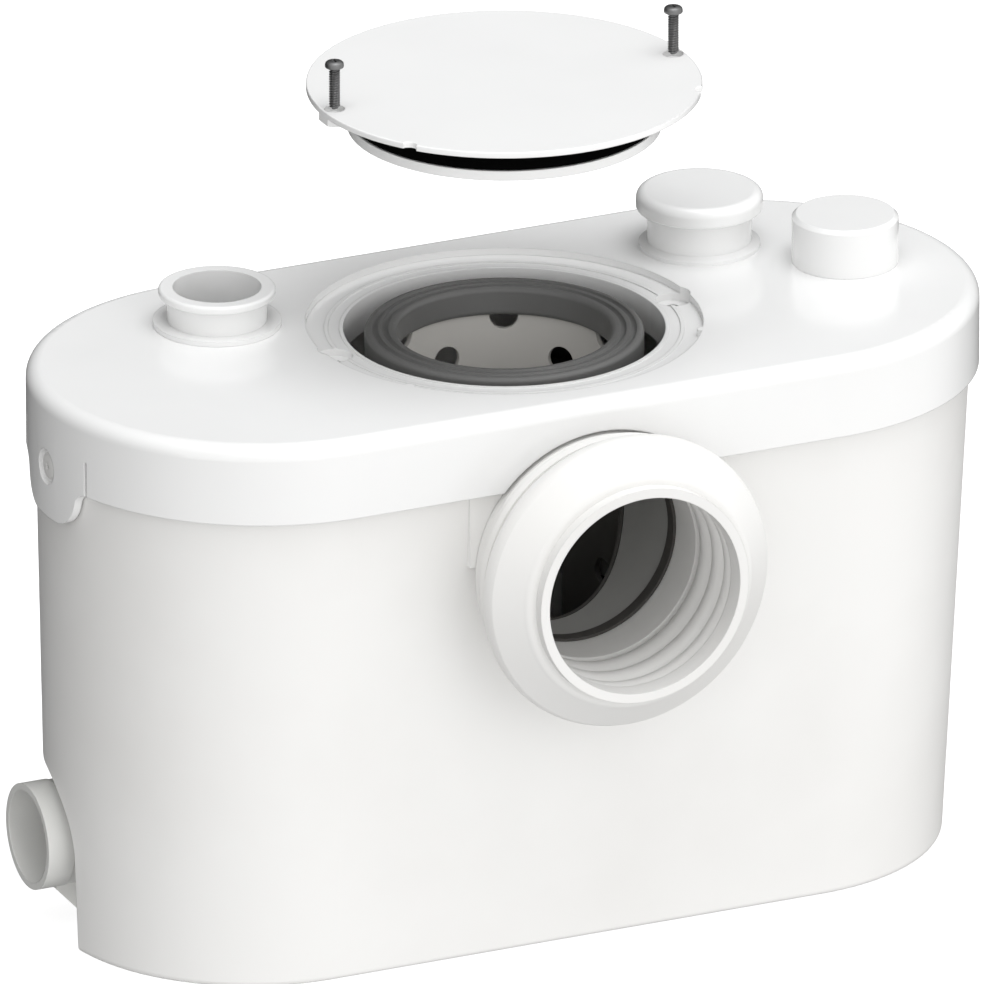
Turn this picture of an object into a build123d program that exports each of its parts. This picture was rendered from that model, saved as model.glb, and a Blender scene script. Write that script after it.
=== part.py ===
from build123d import *
from math import cos, radians, sin, sqrt
import os

os.makedirs("parts", exist_ok=True)

# Macerator toilet pump, in millimetres. +Z is up, the front with the WC inlet faces -Y,
# and the origin is on the floor under the middle of the lid. The access cover and its
# two screws are modelled lifted off, as the object is shown.

# Shared clearances and cuts
overrun = 5.0
fit_gap = 0.3
running_gap = 0.05

# Lid
lid_length = 400.0
lid_width = 188.5
lid_top_z = 239.3
lid_skirt = 33.1
lid_wall = 3.2
lid_plate = 3.2
lid_edge_radius = 6.0
tab_reach = 28.9
tab_drop = 17.6
tab_corner = 15.0
tab_blend = 6.6
slit_width = 1.2
slit_height = 14.5
tab_hole_rise = 3.2
tab_hole_radius = 7.4
tab_hole_depth = 2.4

# Tab screws
tab_screw_radius = 2.0
tab_screw_length = 11.0
tab_head_radius = 5.6
tab_head_height = 1.7
tab_boss_wall = 4.0
tab_boss_length = 9.0

# Lid seal
seal_height = 5.0
seal_width = 3.0
seal_corner = 0.8

# Tank
lid_to_tank = 0.6
end_draft = 6.35
front_draft = 16.75
rear_draft = 0.45
tank_wall = 3.5
tank_floor = 4.0
tank_foot_radius = 2.5
recess_depth = 20.0
recess_radius = 29.6

# WC inlet
wc_drop = 68.6
wc_pad_spread = 10.7
wc_pad_height = 31.2
wc_pad_proud = 0.35
wc_boss_rise = 6.7
wc_socket_inset = 2.7
wc_socket_wall = 3.0
wc_socket_length = 25.0
wc_mouth_inset = 3.8
wc_mouth_length = 9.0
wc_lip_width = 3.9
wc_lip_length = 4.7
wc_dome_rise = 15.9
wc_cone_foot = 4.6
wc_cone_fillet = 1.7
wc_rim_length = 7.3
wc_rim_drop = 1.2
wc_rim_crest_share = 0.616
wc_projection = 45.2
wc_rib_rises = (8.4, 9.5, 11.7)
wc_rib_pitch = 5.6
wc_rib_groove = 1.1
wc_neck_length = 6.1
wc_body_wall = 3.0
wc_fold_count = 3
wc_fold_pitch = 11.5
wc_fold_crest = 0.3
wc_fold_depth = 2.9
wc_seal_width = 5.5
wc_seal_lip = 1.2
wc_pipe_wall = 2.4
wc_cut_gap = 1.6
wc_cut_blend = 3.0

# Access opening in the lid
access_share = 0.810302
access_well_wall = 2.5
access_well_depth = 17.3
cover_seat_share = 0.422281
cover_seat_depth = 3.0
seat_step_width = 1.6
seat_step_height = 0.4
seat_step_inset = 9.1
seat_key_radius = 2.2
seat_key_angles = (-30.5, -142.6)

# Access cover
cover_gap = 0.6
cover_plate = 2.4
cover_edge_radius = 0.4
cover_skirt_gap = 1.7
cover_skirt_wall = 4.2
cover_drop = 18.2
cover_flange = 4.0
oring_section = 2.75
oring_gap = 0.5
cover_key_gap = 0.8
cover_screw_inset = 5.6
cover_lug_radius = 6.5
cover_lug_drop = 3.0
cover_lift = 102.6

# Cover screws
screw_length = 20.5
screw_head_radius = 3.8
screw_head_height = 2.6
screw_thread_radius = 2.3
screw_core_radius = 1.8
screw_thread_pitch = 1.6
screw_cross_width = 1.1
screw_cross_length = 4.6
screw_cross_depth = 1.5
screw_boss_radius = 6.0
screw_boss_length = 17.0

# Basket and its collar
basket_share = 0.744186
basket_wall = 2.0
basket_foot_height = 18.0
basket_foot_radius = 5.0
basket_foot_inset = 16.0
basket_hole_radius = 5.75
basket_row_pitch = 17.0
basket_columns = 6
basket_first_angle = 6.0
basket_wc_half_angle = 68.0
basket_window_width = 26.0
basket_window_bottom_z = 92.0
basket_window_height = 34.0
basket_window_angle = 52.0
basket_window_half_angle = 24.0
collar_overhang = 8.0
collar_inset = 5.0
collar_height = 12.0
collar_gap = 0.5
collar_groove_depth = 5.0
collar_bead = 1.2
collar_bead_shares = (0.36, 0.68)
collar_corner = 2.0

# Low side inlet
side_y = 25.0
side_z = 40.4
side_outer_radius = 21.7
side_inner_radius = 18.9
side_reach = 28.2
side_land = 0.4
side_flange_radius = 26.0
side_flange = 2.5
side_inward = 5.0
gusset_thickness = 4.0
gusset_reach = 16.8
gusset_toe = 2.2
gusset_foot_z = 1.0
flap_gap = 0.3
flap_thickness = 2.0
flap_overlap = 1.4
flap_pin_radius = 1.5
flap_pin_rise = 4.8
flap_eye_wall = 1.5
flap_eye_width = 10.0
ear_width = 3.0
ear_wall = 2.0

# Top inlet nozzle
nozzle_x_share = -0.265
nozzle_y_share = 0.233422
nozzle_flange_radius = 23.5
nozzle_flange = 3.6
nozzle_neck_radius = 20.0
nozzle_bore_radius = 17.75
nozzle_base_radius = 25.7
nozzle_base = 2.2
nozzle_height = 16.1
nozzle_tail = 16.0

# Vent
vent_x_share = 0.265
vent_y_share = 0.233422
vent_neck_radius = 21.1
vent_neck_wall = 2.5
vent_neck_height = 15.8
vent_base_radius = 24.5
vent_base = 1.4
vent_ledge = 3.5
vent_cap_radius = 25.6
vent_cap_height = 8.3
vent_cap_edge = 3.8
vent_plug_wall = 1.6
vent_plug_length = 4.0
filter_height = 8.0

# Discharge
outlet_x_share = 0.38
outlet_y = 4.0
outlet_cap_radius = 21.5
outlet_cap_height = 20.4
outlet_cap_wall = 2.0
outlet_cap_bevel = 1.6
outlet_plug_wall = 1.6
spigot_radius = 16.0
spigot_wall = 2.8
spigot_height = 17.0
spigot_shoulder = 1.0
valve_radius = 18.0
valve_bore_radius = 15.2
valve_flange_radius = 22.0
valve_flange = 3.0
valve_length = 38.0
valve_seat_height = 3.0
valve_socket_depth = 5.0
valve_seat_hole_radius = 8.0
valve_flap_radius = 11.0
valve_flap_thickness = 1.6
valve_pin_offset = 12.0
valve_pin_radius = 1.0
valve_eye_wall = 0.8
valve_eye_width = 5.0
valve_ear_width = 2.0

# Riser from the pump to the check valve
riser_radius = 10.0
riser_wall = 2.0
riser_level_share = 0.405
riser_bend_share = 0.55

# Pump
pump_axis_z = 70.0
pump_gap = 2.0
pump_length = 20.0
pump_radius = 42.0
pump_wall = 4.0
pump_cover_thickness = 4.0
pump_eye_radius = 13.0
pump_back = 4.0
outlet_tube_y = 24.0
outlet_tube_top_z = 114.0
impeller_inset = 12.0
impeller_disc = 2.5
impeller_vane_height = 7.0
impeller_vane_width = 2.4
impeller_vanes = 6
impeller_hub_radius = 10.0
impeller_axial_gap = 1.2
shaft_seal_radius = 12.0

# Motor
motor_end_gap = 27.85
motor_wall = 3.0
motor_front = 4.0
motor_end = 4.0
motor_spigot = 3.0
motor_foot_length = 9.0
motor_foot_width = 52.0
motor_foot_inset = 12.0
shaft_radius = 6.0
shaft_nose_x = 8.0
shaft_tail = 1.5
bearing_radius = 16.0
bearing_width = 9.0
bearing_seat_wall = 4.0
stator_bore_inset = 18.0
stator_length_share = 0.4
stator_inset_share = 0.28
stator_slots = 12
slot_width = 4.0
slot_depth = 8.0
winding_length = 8.0
winding_inner_inset = 15.5
winding_outer_inset = 7.0
rotor_gap = 0.6
capacitor_radius = 15.0
capacitor_length_share = 0.6
capacitor_y = -30.0
capacitor_z = 124.0
capacitor_inset = 14.0
capacitor_terminal_radius = 2.0
capacitor_terminal_height = 6.0
capacitor_terminal_spread = 6.0
saddle_width = 10.0
saddle_depth = 14.0

# Cutter
blade_x_share = 0.375
blade_gap = 13.0
blade_width = 12.0
blade_thickness = 2.5
blade_hub_radius = 9.0
blade_hub_length = 10.0
blade_tip_height = 6.0
nut_width = 17.0
nut_height = 6.0

# Level sensing
sensor_x_share = -0.32
sensor_y = -22.0
sensor_tube_radius = 13.0
sensor_tube_wall = 2.0
sensor_tube_bottom_z = 30.0
sensor_flange_radius = 25.0
sensor_flange = 3.0
sensor_flange_drop = 54.1
diaphragm_thickness = 1.0
plate_radius = 12.0
plate_thickness = 1.5
plate_stem_radius = 2.5
plate_stem_height = 9.0
plate_travel = 1.5
housing_wall = 2.5
switch_length = 20.0
switch_width = 7.0
switch_height = 11.0
switch_rise = 4.0
switch_button_radius = 1.2
lever_thickness = 0.8
lever_width = 5.0
lever_arm = 14.0
lever_eye_radius = 1.8

# Cable gland
gland_x = 60.0
gland_drop = 18.2
gland_radius = 8.0
gland_flange_radius = 12.0
gland_flange = 3.0
gland_nose_radius = 9.5
gland_nose_length = 12.0
gland_tail = 8.0
gland_hole_radius = 3.6

# Heights and places that follow
lid_skirt_z = lid_top_z - lid_skirt
lid_under_z = lid_top_z - lid_plate
tab_bottom_z = lid_skirt_z - tab_drop
tab_hole_z = lid_skirt_z + tab_hole_rise
tab_round = tab_blend + tab_corner
tab_round_rise = tab_round - tab_drop
tab_round_span = sqrt(tab_round**2 - tab_round_rise**2)
tab_corner_y = tab_reach - tab_round_span
tab_turn_y = tab_reach - tab_round_span * tab_blend / tab_round
tab_turn_z = lid_skirt_z - tab_blend + tab_round_rise * tab_blend / tab_round
tank_top_z = lid_under_z - seal_height
tank_length = lid_length - 2 * (lid_wall + lid_to_tank)
tank_width = lid_width - 2 * (lid_wall + lid_to_tank)
foot_length = tank_length - 2 * end_draft
foot_width = tank_width - front_draft - rear_draft
foot_shift = (front_draft - rear_draft) / 2
recess_x = -(foot_length / 2 - recess_depth)
wc_face_y = -(tank_width / 2 + wc_pad_proud)
wc_front_y = wc_face_y - wc_projection
seat_floor_z = lid_top_z - cover_seat_depth
cover_seat_radius = cover_seat_share * lid_width
access_radius = access_share * cover_seat_radius
seat_step_radius = cover_seat_radius - seat_step_inset
cover_screw_offset = cover_seat_radius - cover_screw_inset
cover_under_z = lid_top_z - cover_plate
cover_radius = cover_seat_radius - cover_gap
cover_skirt_radius = access_radius - cover_skirt_gap
basket_radius = basket_share * access_radius
basket_foot_spread = basket_radius - basket_foot_inset
collar_outer_radius = basket_radius + collar_overhang
collar_inner_radius = basket_radius - collar_inset
collar_top_z = cover_under_z - collar_gap
collar_bottom_z = collar_top_z - collar_height
basket_top_z = collar_bottom_z + collar_groove_depth - fit_gap
basket_floor_z = tank_floor + basket_foot_height
basket_row_z = basket_top_z - basket_hole_radius + running_gap
basket_rows = int((basket_row_z - basket_floor_z - basket_hole_radius) / basket_row_pitch)
wc_z = lid_top_z - wc_drop
wc_pad_bottom_z = lid_skirt_z - wc_pad_height
wc_socket_radius = basket_radius - wc_socket_inset
wc_pad_half_width = wc_socket_radius + wc_pad_spread
wc_boss_radius = wc_socket_radius + wc_boss_rise
wc_mouth_radius = wc_socket_radius - wc_mouth_inset
wc_dome_radius = wc_socket_radius + wc_dome_rise
wc_rib_radii = [wc_socket_radius + rise for rise in wc_rib_rises]
nozzle_x = nozzle_x_share * lid_length
nozzle_y = nozzle_y_share * lid_width
vent_x = vent_x_share * lid_length
vent_y = vent_y_share * lid_width
outlet_x = outlet_x_share * lid_length
sensor_x = sensor_x_share * lid_length
sensor_flange_z = lid_under_z - sensor_flange_drop
gland_z = lid_skirt_z - gland_drop
pump_face_x = basket_radius + pump_gap
impeller_radius = pump_radius - impeller_inset
stator_bore_radius = pump_radius - stator_bore_inset
winding_inner_radius = pump_radius - winding_inner_inset
winding_outer_radius = pump_radius - winding_outer_inset
blade_x = blade_x_share * basket_radius
blade_radius = basket_radius - blade_gap
motor_x = pump_face_x + pump_length
motor_length = foot_length / 2 - motor_x - motor_end_gap
stator_length = stator_length_share * motor_length
stator_inset = stator_inset_share * motor_length
capacitor_length = capacitor_length_share * motor_length
capacitor_x = motor_x + capacitor_inset
motor_end_x = motor_x + motor_length
shaft_bore = shaft_radius + running_gap
wc_axis = Axis((0, 0, wc_z), (0, 1, 0))


def keep(piece, name):
    """Label one finished piece and write it to its own file."""
    piece.part.label = name
    export_step(piece.part, f"parts/{name}.step")


def upright(x, y):
    """A plane through a vertical axis at x, y, with radius across and height up."""
    return Plane(origin=(x, y, 0), x_dir=(1, 0, 0), z_dir=(0, -1, 0))


def recess_outline(x, growth):
    """The side view of the recess round the low inlet, grown by a wall."""
    reach = tank_width
    radius = recess_radius + growth
    with BuildSketch(Plane.YZ.offset(x)) as outline:
        with BuildLine():
            Line((side_y - radius, -overrun), (side_y - radius, side_z))
            RadiusArc((side_y - radius, side_z), (side_y, side_z + radius), radius)
            Polyline(
                (side_y, side_z + radius),
                (side_y + reach, side_z + radius),
                (side_y + reach, -overrun),
                (side_y - radius, -overrun),
            )
        make_face()
    return outline.sketch


# Tank: the drafted outer form and its cavity, then the recess, the pad and the sockets
with BuildPart() as tank_cavity:
    with BuildSketch(Plane.XY.offset(tank_floor)):
        with Locations((0, foot_shift)):
            SlotOverall(foot_length - 2 * tank_wall, foot_width - 2 * tank_wall)
    with BuildSketch(Plane.XY.offset(lid_skirt_z)):
        SlotOverall(tank_length - 2 * tank_wall, tank_width - 2 * tank_wall)
    loft(ruled=True)
    with BuildSketch(Plane.XY.offset(lid_skirt_z)):
        SlotOverall(tank_length - 2 * tank_wall, tank_width - 2 * tank_wall)
    extrude(amount=tank_top_z - lid_skirt_z + overrun)
    extrude(recess_outline(recess_x + tank_wall, tank_wall), amount=-lid_length, mode=Mode.SUBTRACT)

with BuildPart() as tank:
    with BuildSketch(Plane.XY):
        with Locations((0, foot_shift)):
            SlotOverall(foot_length, foot_width)
    with BuildSketch(Plane.XY.offset(lid_skirt_z)):
        SlotOverall(tank_length, tank_width)
    loft(ruled=True)
    fillet(tank.edges().group_by(Axis.Z)[0], tank_foot_radius)
    with BuildSketch(Plane.XY.offset(lid_skirt_z)):
        SlotOverall(tank_length, tank_width)
    extrude(amount=tank_top_z - lid_skirt_z)
    extrude(recess_outline(recess_x, 0), amount=-lid_length, mode=Mode.SUBTRACT)
    with BuildSketch(Plane.XZ.offset(-wc_face_y)):
        with Locations((0, (wc_pad_bottom_z + lid_skirt_z) / 2)):
            Rectangle(2 * wc_pad_half_width, lid_skirt_z - wc_pad_bottom_z)
        with Locations((0, wc_z)):
            Circle(wc_boss_radius)
    extrude(amount=-(tank_wall + wc_pad_proud))
    with BuildSketch(Plane.XZ.offset(-wc_face_y)):
        with Locations((0, wc_z)):
            Circle(wc_boss_radius)
    extrude(amount=-3 * tank_wall)
    add(tank_cavity.part, mode=Mode.SUBTRACT)
    with BuildSketch(Plane.XZ.offset(-wc_face_y)):
        with Locations((0, wc_z)):
            Circle(wc_socket_radius + wc_socket_wall)
    extrude(amount=-wc_socket_length)
    with BuildSketch(Plane.XZ.offset(-wc_face_y + overrun)):
        with Locations((0, wc_z)):
            Circle(wc_socket_radius)
    extrude(amount=-(wc_socket_length + 2 * overrun), mode=Mode.SUBTRACT)
    with BuildSketch(Plane.YZ.offset(recess_x - overrun)):
        with Locations((side_y, side_z)):
            Circle(side_outer_radius + fit_gap)
    extrude(amount=tank_wall + 2 * overrun, mode=Mode.SUBTRACT)
    for end in (-1, 1):
        tab_boss_face_x = end * (tank_length / 2 - tank_wall)
        with BuildSketch(Plane.YZ.offset(tab_boss_face_x)):
            with Locations((0, tab_hole_z)):
                Circle(tab_screw_radius + tab_boss_wall)
        extrude(amount=-end * tab_boss_length)
        with BuildSketch(Plane.YZ.offset(end * (tank_length / 2 + overrun))):
            with Locations((0, tab_hole_z)):
                Circle(tab_screw_radius + fit_gap)
        extrude(amount=-end * (tank_wall + tab_boss_length + 2 * overrun), mode=Mode.SUBTRACT)
    with BuildSketch(Plane.XZ.offset(-tank_width / 2 - overrun)):
        with Locations((gland_x, gland_z)):
            Circle(gland_radius + fit_gap)
    extrude(amount=tank_wall + 3 * overrun, mode=Mode.SUBTRACT)
keep(tank, "tank")

# Lid: a hollow shell with a skirt, a screw tab at each end, and the access opening
with BuildPart() as lid:
    with BuildSketch(Plane.XY.offset(tab_bottom_z)):
        SlotOverall(lid_length, lid_width)
    extrude(amount=lid_top_z - tab_bottom_z)
    fillet(lid.edges().group_by(Axis.Z)[-1], lid_edge_radius)
    with BuildSketch(Plane.XY.offset(tab_bottom_z)):
        SlotOverall(lid_length - 2 * lid_wall, lid_width - 2 * lid_wall)
    extrude(amount=lid_under_z - tab_bottom_z, mode=Mode.SUBTRACT)
    with BuildSketch(Plane.YZ):
        with Locations((0, lid_skirt_z - tab_drop)):
            Rectangle(lid_width + 2 * overrun, 2 * tab_drop)
        with BuildLine():
            Polyline(
                (-tab_reach, lid_skirt_z),
                (-tab_turn_y, tab_turn_z),
                (-tab_corner_y, tab_bottom_z),
                (tab_corner_y, tab_bottom_z),
                (tab_turn_y, tab_turn_z),
                (tab_reach, lid_skirt_z),
                close=True,
            )
        make_face(mode=Mode.SUBTRACT)
        for side in (-1, 1):
            with Locations((side * tab_corner_y, tab_bottom_z + tab_corner)):
                Circle(tab_corner, mode=Mode.SUBTRACT)
            with Locations((side * tab_reach, lid_skirt_z - tab_blend)):
                Circle(tab_blend)
    extrude(amount=lid_length, both=True, mode=Mode.SUBTRACT)
    with BuildSketch(Plane.YZ):
        with Locations((-tab_reach, lid_skirt_z), (tab_reach, lid_skirt_z)):
            Rectangle(slit_width, 2 * slit_height)
    extrude(amount=lid_length, both=True, mode=Mode.SUBTRACT)
    # Cut round the WC gasket in the front skirt
    wc_cut_radius = wc_rib_radii[0] + wc_cut_gap
    with BuildSketch(Plane.XZ) as gasket_cut:
        with Locations((0, wc_z)):
            Circle(wc_cut_radius)
        with Locations((0, lid_skirt_z - tab_drop)):
            Rectangle(3 * wc_cut_radius, 2 * tab_drop)
        cut_corners = gasket_cut.vertices().filter_by(
            lambda v: abs(v.X) < wc_cut_radius and abs(v.Z - lid_skirt_z) < running_gap
        )
        fillet(cut_corners, wc_cut_blend)
    extrude(amount=lid_width, mode=Mode.SUBTRACT)
    # Seat, well and screw bosses of the access opening
    with BuildSketch(Plane.XY.offset(lid_under_z)):
        Circle(cover_seat_radius + lid_wall)
    extrude(amount=-cover_seat_depth)
    with BuildSketch(Plane.XY.offset(lid_top_z - access_well_depth)):
        Circle(access_radius + access_well_wall)
    extrude(amount=access_well_depth - cover_seat_depth)
    with BuildSketch(Plane.XY.offset(seat_floor_z - cover_lug_drop - screw_boss_length)):
        with Locations((-cover_screw_offset, 0), (cover_screw_offset, 0)):
            Circle(screw_boss_radius + fit_gap)
    extrude(amount=screw_boss_length)
    with BuildSketch(Plane.XY.offset(seat_floor_z - cover_lug_drop - lid_wall)):
        with Locations((-cover_screw_offset, 0), (cover_screw_offset, 0)):
            Circle(cover_lug_radius + cover_gap + lid_wall)
    extrude(amount=cover_lug_drop + lid_wall)
    with BuildSketch(Plane.XY.offset(seat_floor_z)):
        Circle(cover_seat_radius)
    extrude(amount=cover_seat_depth + overrun, mode=Mode.SUBTRACT)
    with BuildSketch(Plane.XY.offset(seat_floor_z)):
        Circle(seat_step_radius + seat_step_width)
        Circle(seat_step_radius, mode=Mode.SUBTRACT)
        Circle(access_radius + seat_step_width)
    extrude(amount=seat_step_height)
    with BuildSketch(Plane.XY.offset(seat_floor_z - cover_lug_drop)):
        with Locations((-cover_screw_offset, 0), (cover_screw_offset, 0)):
            Circle(cover_lug_radius + cover_gap)
    extrude(amount=cover_lug_drop + overrun, mode=Mode.SUBTRACT)
    with BuildSketch(Plane.XY.offset(seat_floor_z)):
        for angle in seat_key_angles:
            with PolarLocations(cover_seat_radius, 1, start_angle=angle):
                Circle(seat_key_radius)
        Circle(cover_seat_radius - seat_key_radius, mode=Mode.SUBTRACT)
    extrude(amount=cover_seat_depth)
    with BuildSketch(Plane.XY.offset(tab_bottom_z)):
        Circle(access_radius)
        with Locations((-cover_screw_offset, 0), (cover_screw_offset, 0)):
            Circle(screw_thread_radius + fit_gap)
        with Locations((nozzle_x, nozzle_y)):
            Circle(nozzle_neck_radius + fit_gap)
        with Locations((outlet_x, outlet_y)):
            Circle(spigot_radius + spigot_shoulder + fit_gap)
        with Locations((vent_x, vent_y)):
            Circle(vent_neck_radius - vent_neck_wall - vent_ledge)
    extrude(amount=lid_top_z, mode=Mode.SUBTRACT)
    # Neck of the vent
    with BuildSketch(upright(vent_x, vent_y)):
        with BuildLine():
            Polyline(
                (vent_neck_radius - vent_neck_wall, lid_top_z),
                (vent_base_radius, lid_top_z - lid_plate / 2),
                (vent_base_radius, lid_top_z + vent_base),
                (vent_neck_radius, lid_top_z + 2 * vent_base),
                (vent_neck_radius, lid_top_z + vent_neck_height),
                (vent_neck_radius - vent_neck_wall, lid_top_z + vent_neck_height),
                close=True,
            )
        make_face()
    revolve(axis=Axis((vent_x, vent_y, 0), (0, 0, 1)))
    # Screw holes in the tabs
    for end in (-1, 1):
        with BuildSketch(Plane.YZ.offset(end * (lid_length / 2 + overrun))):
            with Locations((0, tab_hole_z)):
                Circle(tab_hole_radius)
        extrude(amount=-end * (tab_hole_depth + overrun), mode=Mode.SUBTRACT)
        with BuildSketch(Plane.YZ.offset(end * (lid_length / 2 + overrun))):
            with Locations((0, tab_hole_z)):
                Circle(tab_screw_radius + fit_gap)
        extrude(amount=-end * (lid_wall + 2 * overrun), mode=Mode.SUBTRACT)
keep(lid, "lid")

# Lid seal: a flat rubber ring on the tank's rim, pressed by the underside of the lid
with BuildPart() as lid_seal:
    seal_inset = (tank_wall - seal_width) / 2
    with BuildSketch(Plane.XY.offset(tank_top_z)):
        SlotOverall(tank_length - 2 * seal_inset, tank_width - 2 * seal_inset)
        SlotOverall(
            tank_length - 2 * (seal_inset + seal_width),
            tank_width - 2 * (seal_inset + seal_width),
            mode=Mode.SUBTRACT,
        )
    extrude(amount=seal_height)
    chamfer(lid_seal.edges().group_by(Axis.Z)[-1], seal_corner)
keep(lid_seal, "lid_seal")

# Tab screws: one at each end of the lid, their heads down in the tab holes
with BuildPart() as tab_screws:
    for end in (-1, 1):
        head_seat_x = end * (lid_length / 2 - tab_hole_depth)
        with BuildSketch(Plane.YZ.offset(head_seat_x)):
            with Locations((0, tab_hole_z)):
                Circle(tab_head_radius)
        extrude(amount=end * tab_head_height)
        with BuildSketch(Plane.YZ.offset(head_seat_x)):
            with Locations((0, tab_hole_z)):
                Circle(tab_screw_radius)
        extrude(amount=-end * tab_screw_length)
        with BuildSketch(Plane.YZ.offset(head_seat_x + end * tab_head_height)):
            with Locations((0, tab_hole_z)):
                Rectangle(screw_cross_length, screw_cross_width)
                Rectangle(screw_cross_width, screw_cross_length)
        extrude(amount=-end * tab_head_height / 2, mode=Mode.SUBTRACT)
keep(tab_screws, "tab_screws")

# Access cover: a thin disc with a hollow skirt that carries the O-ring
cover_top_z = lid_top_z + cover_lift
cover_low_z = cover_top_z - cover_drop
groove_radius = cover_skirt_radius - oring_section
oring_low_z = cover_low_z + cover_flange
oring_high_z = oring_low_z + 2 * oring_section + oring_gap
with BuildPart() as access_cover:
    with BuildSketch(Plane.XY.offset(cover_top_z - cover_plate)):
        Circle(cover_radius)
        for angle in seat_key_angles:
            with PolarLocations(cover_seat_radius, 1, start_angle=angle):
                Circle(seat_key_radius + cover_key_gap, mode=Mode.SUBTRACT)
    extrude(amount=cover_plate)
    fillet(access_cover.edges().group_by(Axis.Z)[-1], cover_edge_radius)
    with BuildSketch(upright(0, 0)):
        with BuildLine():
            Polyline(
                (cover_skirt_radius - cover_skirt_wall, cover_top_z - cover_plate),
                (cover_skirt_radius, cover_top_z - cover_plate),
                (cover_skirt_radius, oring_high_z),
                (groove_radius, oring_high_z),
                (groove_radius, oring_low_z),
                (cover_skirt_radius, oring_low_z),
                (cover_skirt_radius, cover_low_z),
                (cover_skirt_radius - cover_skirt_wall, cover_low_z),
                close=True,
            )
        make_face()
    revolve(axis=Axis.Z)
    with BuildSketch(Plane.XY.offset(cover_top_z - cover_plate)):
        with Locations((-cover_screw_offset, 0), (cover_screw_offset, 0)):
            Circle(cover_lug_radius)
    extrude(amount=-cover_lug_drop)
    with BuildSketch(Plane.XY.offset(cover_top_z - cover_plate)):
        Circle(cover_radius + overrun)
        Circle(cover_radius, mode=Mode.SUBTRACT)
    extrude(amount=-cover_drop, mode=Mode.SUBTRACT)
    with BuildSketch(Plane.XY.offset(cover_top_z)):
        with Locations((-cover_screw_offset, 0), (cover_screw_offset, 0)):
            Circle(screw_head_radius + fit_gap)
    extrude(amount=-screw_head_height, mode=Mode.SUBTRACT)
    with BuildSketch(Plane.XY.offset(cover_top_z)):
        with Locations((-cover_screw_offset, 0), (cover_screw_offset, 0)):
            Circle(screw_thread_radius + fit_gap)
    extrude(amount=-cover_drop, mode=Mode.SUBTRACT)
keep(access_cover, "access_cover")

# O-ring: two turns of black rubber section side by side in the skirt's groove
with BuildPart() as cover_oring:
    with BuildSketch(upright(0, 0)):
        with Locations((groove_radius + (oring_section + fit_gap) / 2, (oring_low_z + oring_high_z) / 2)):
            RectangleRounded(oring_section + fit_gap, 2 * oring_section, oring_section / 2)
    revolve(axis=Axis.Z)
keep(cover_oring, "cover_oring")


# Cover screws: pan head with a cross recess over a threaded shank
def cover_screw(x):
    """One cross-recess screw, its tip at the top face of the lifted cover."""
    shank = screw_length - screw_head_height
    turns = int(shank / screw_thread_pitch) - 1
    flank = screw_thread_pitch / 2
    with BuildPart() as screw:
        with BuildSketch(upright(x, 0)):
            with BuildLine():
                points = [(0, cover_top_z), (screw_core_radius, cover_top_z + flank)]
                for turn in range(turns):
                    low_z = cover_top_z + flank + turn * screw_thread_pitch
                    points.append((screw_thread_radius, low_z + flank))
                    points.append((screw_core_radius, low_z + screw_thread_pitch))
                points.append((screw_core_radius, cover_top_z + shank))
                points.append((screw_head_radius, cover_top_z + shank))
                points.append((screw_head_radius, cover_top_z + screw_length - screw_head_height / 2))
                points.append((screw_head_radius - screw_head_height / 2, cover_top_z + screw_length))
                points.append((0, cover_top_z + screw_length))
                Polyline(*points, close=True)
            make_face()
        revolve(axis=Axis((x, 0, 0), (0, 0, 1)))
        with BuildSketch(Plane.XY.offset(cover_top_z + screw_length)):
            with Locations((x, 0)):
                Rectangle(screw_cross_length, screw_cross_width)
                Rectangle(screw_cross_width, screw_cross_length)
        extrude(amount=-screw_cross_depth, mode=Mode.SUBTRACT)
    return screw


keep(cover_screw(-cover_screw_offset), "cover_screw_left")
keep(cover_screw(cover_screw_offset), "cover_screw_right")

# Basket collar: dark rubber ring with beads on top and a groove for the basket's rim
with BuildPart() as basket_collar:
    bead_radii = [
        collar_inner_radius + share * (collar_outer_radius - collar_inner_radius)
        for share in collar_bead_shares
    ]
    with BuildSketch(upright(0, 0)):
        with Locations(((collar_inner_radius + collar_outer_radius) / 2, collar_top_z - collar_height / 2)):
            RectangleRounded(collar_outer_radius - collar_inner_radius, collar_height, collar_corner)
        for bead_radius in bead_radii:
            with Locations((bead_radius, collar_top_z)):
                Circle(collar_bead, mode=Mode.SUBTRACT)
        with Locations((basket_radius - basket_wall / 2, collar_bottom_z)):
            Rectangle(basket_wall + 2 * fit_gap, 2 * collar_groove_depth, mode=Mode.SUBTRACT)
    revolve(axis=Axis.Z)
keep(basket_collar, "basket_collar")

# Basket: a cup with staggered round holes, open to the WC inlet, on four feet
basket_hole_planes = []
for row in range(basket_rows):
    row_z = basket_row_z - row * basket_row_pitch
    for column in range(basket_columns):
        turn = basket_first_angle + (column + row % 2 / 2) * 360 / basket_columns
        turn = turn % 360
        beside_inlet = abs(turn - 270) < basket_wc_half_angle
        if beside_inlet and abs(row_z - wc_z) < wc_socket_radius + basket_hole_radius:
            continue
        in_window = abs(turn - basket_window_angle) < basket_window_half_angle
        window_top_z = basket_window_bottom_z + basket_window_height
        if in_window and basket_window_bottom_z - basket_row_pitch < row_z < window_top_z + basket_row_pitch:
            continue
        near_pump = turn < 30 or turn > 330
        if near_pump and row_z < pump_axis_z + pump_radius:
            continue
        outward = (cos(radians(turn)), sin(radians(turn)), 0)
        basket_hole_planes.append(Plane(origin=(0, 0, row_z), z_dir=outward))

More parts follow.
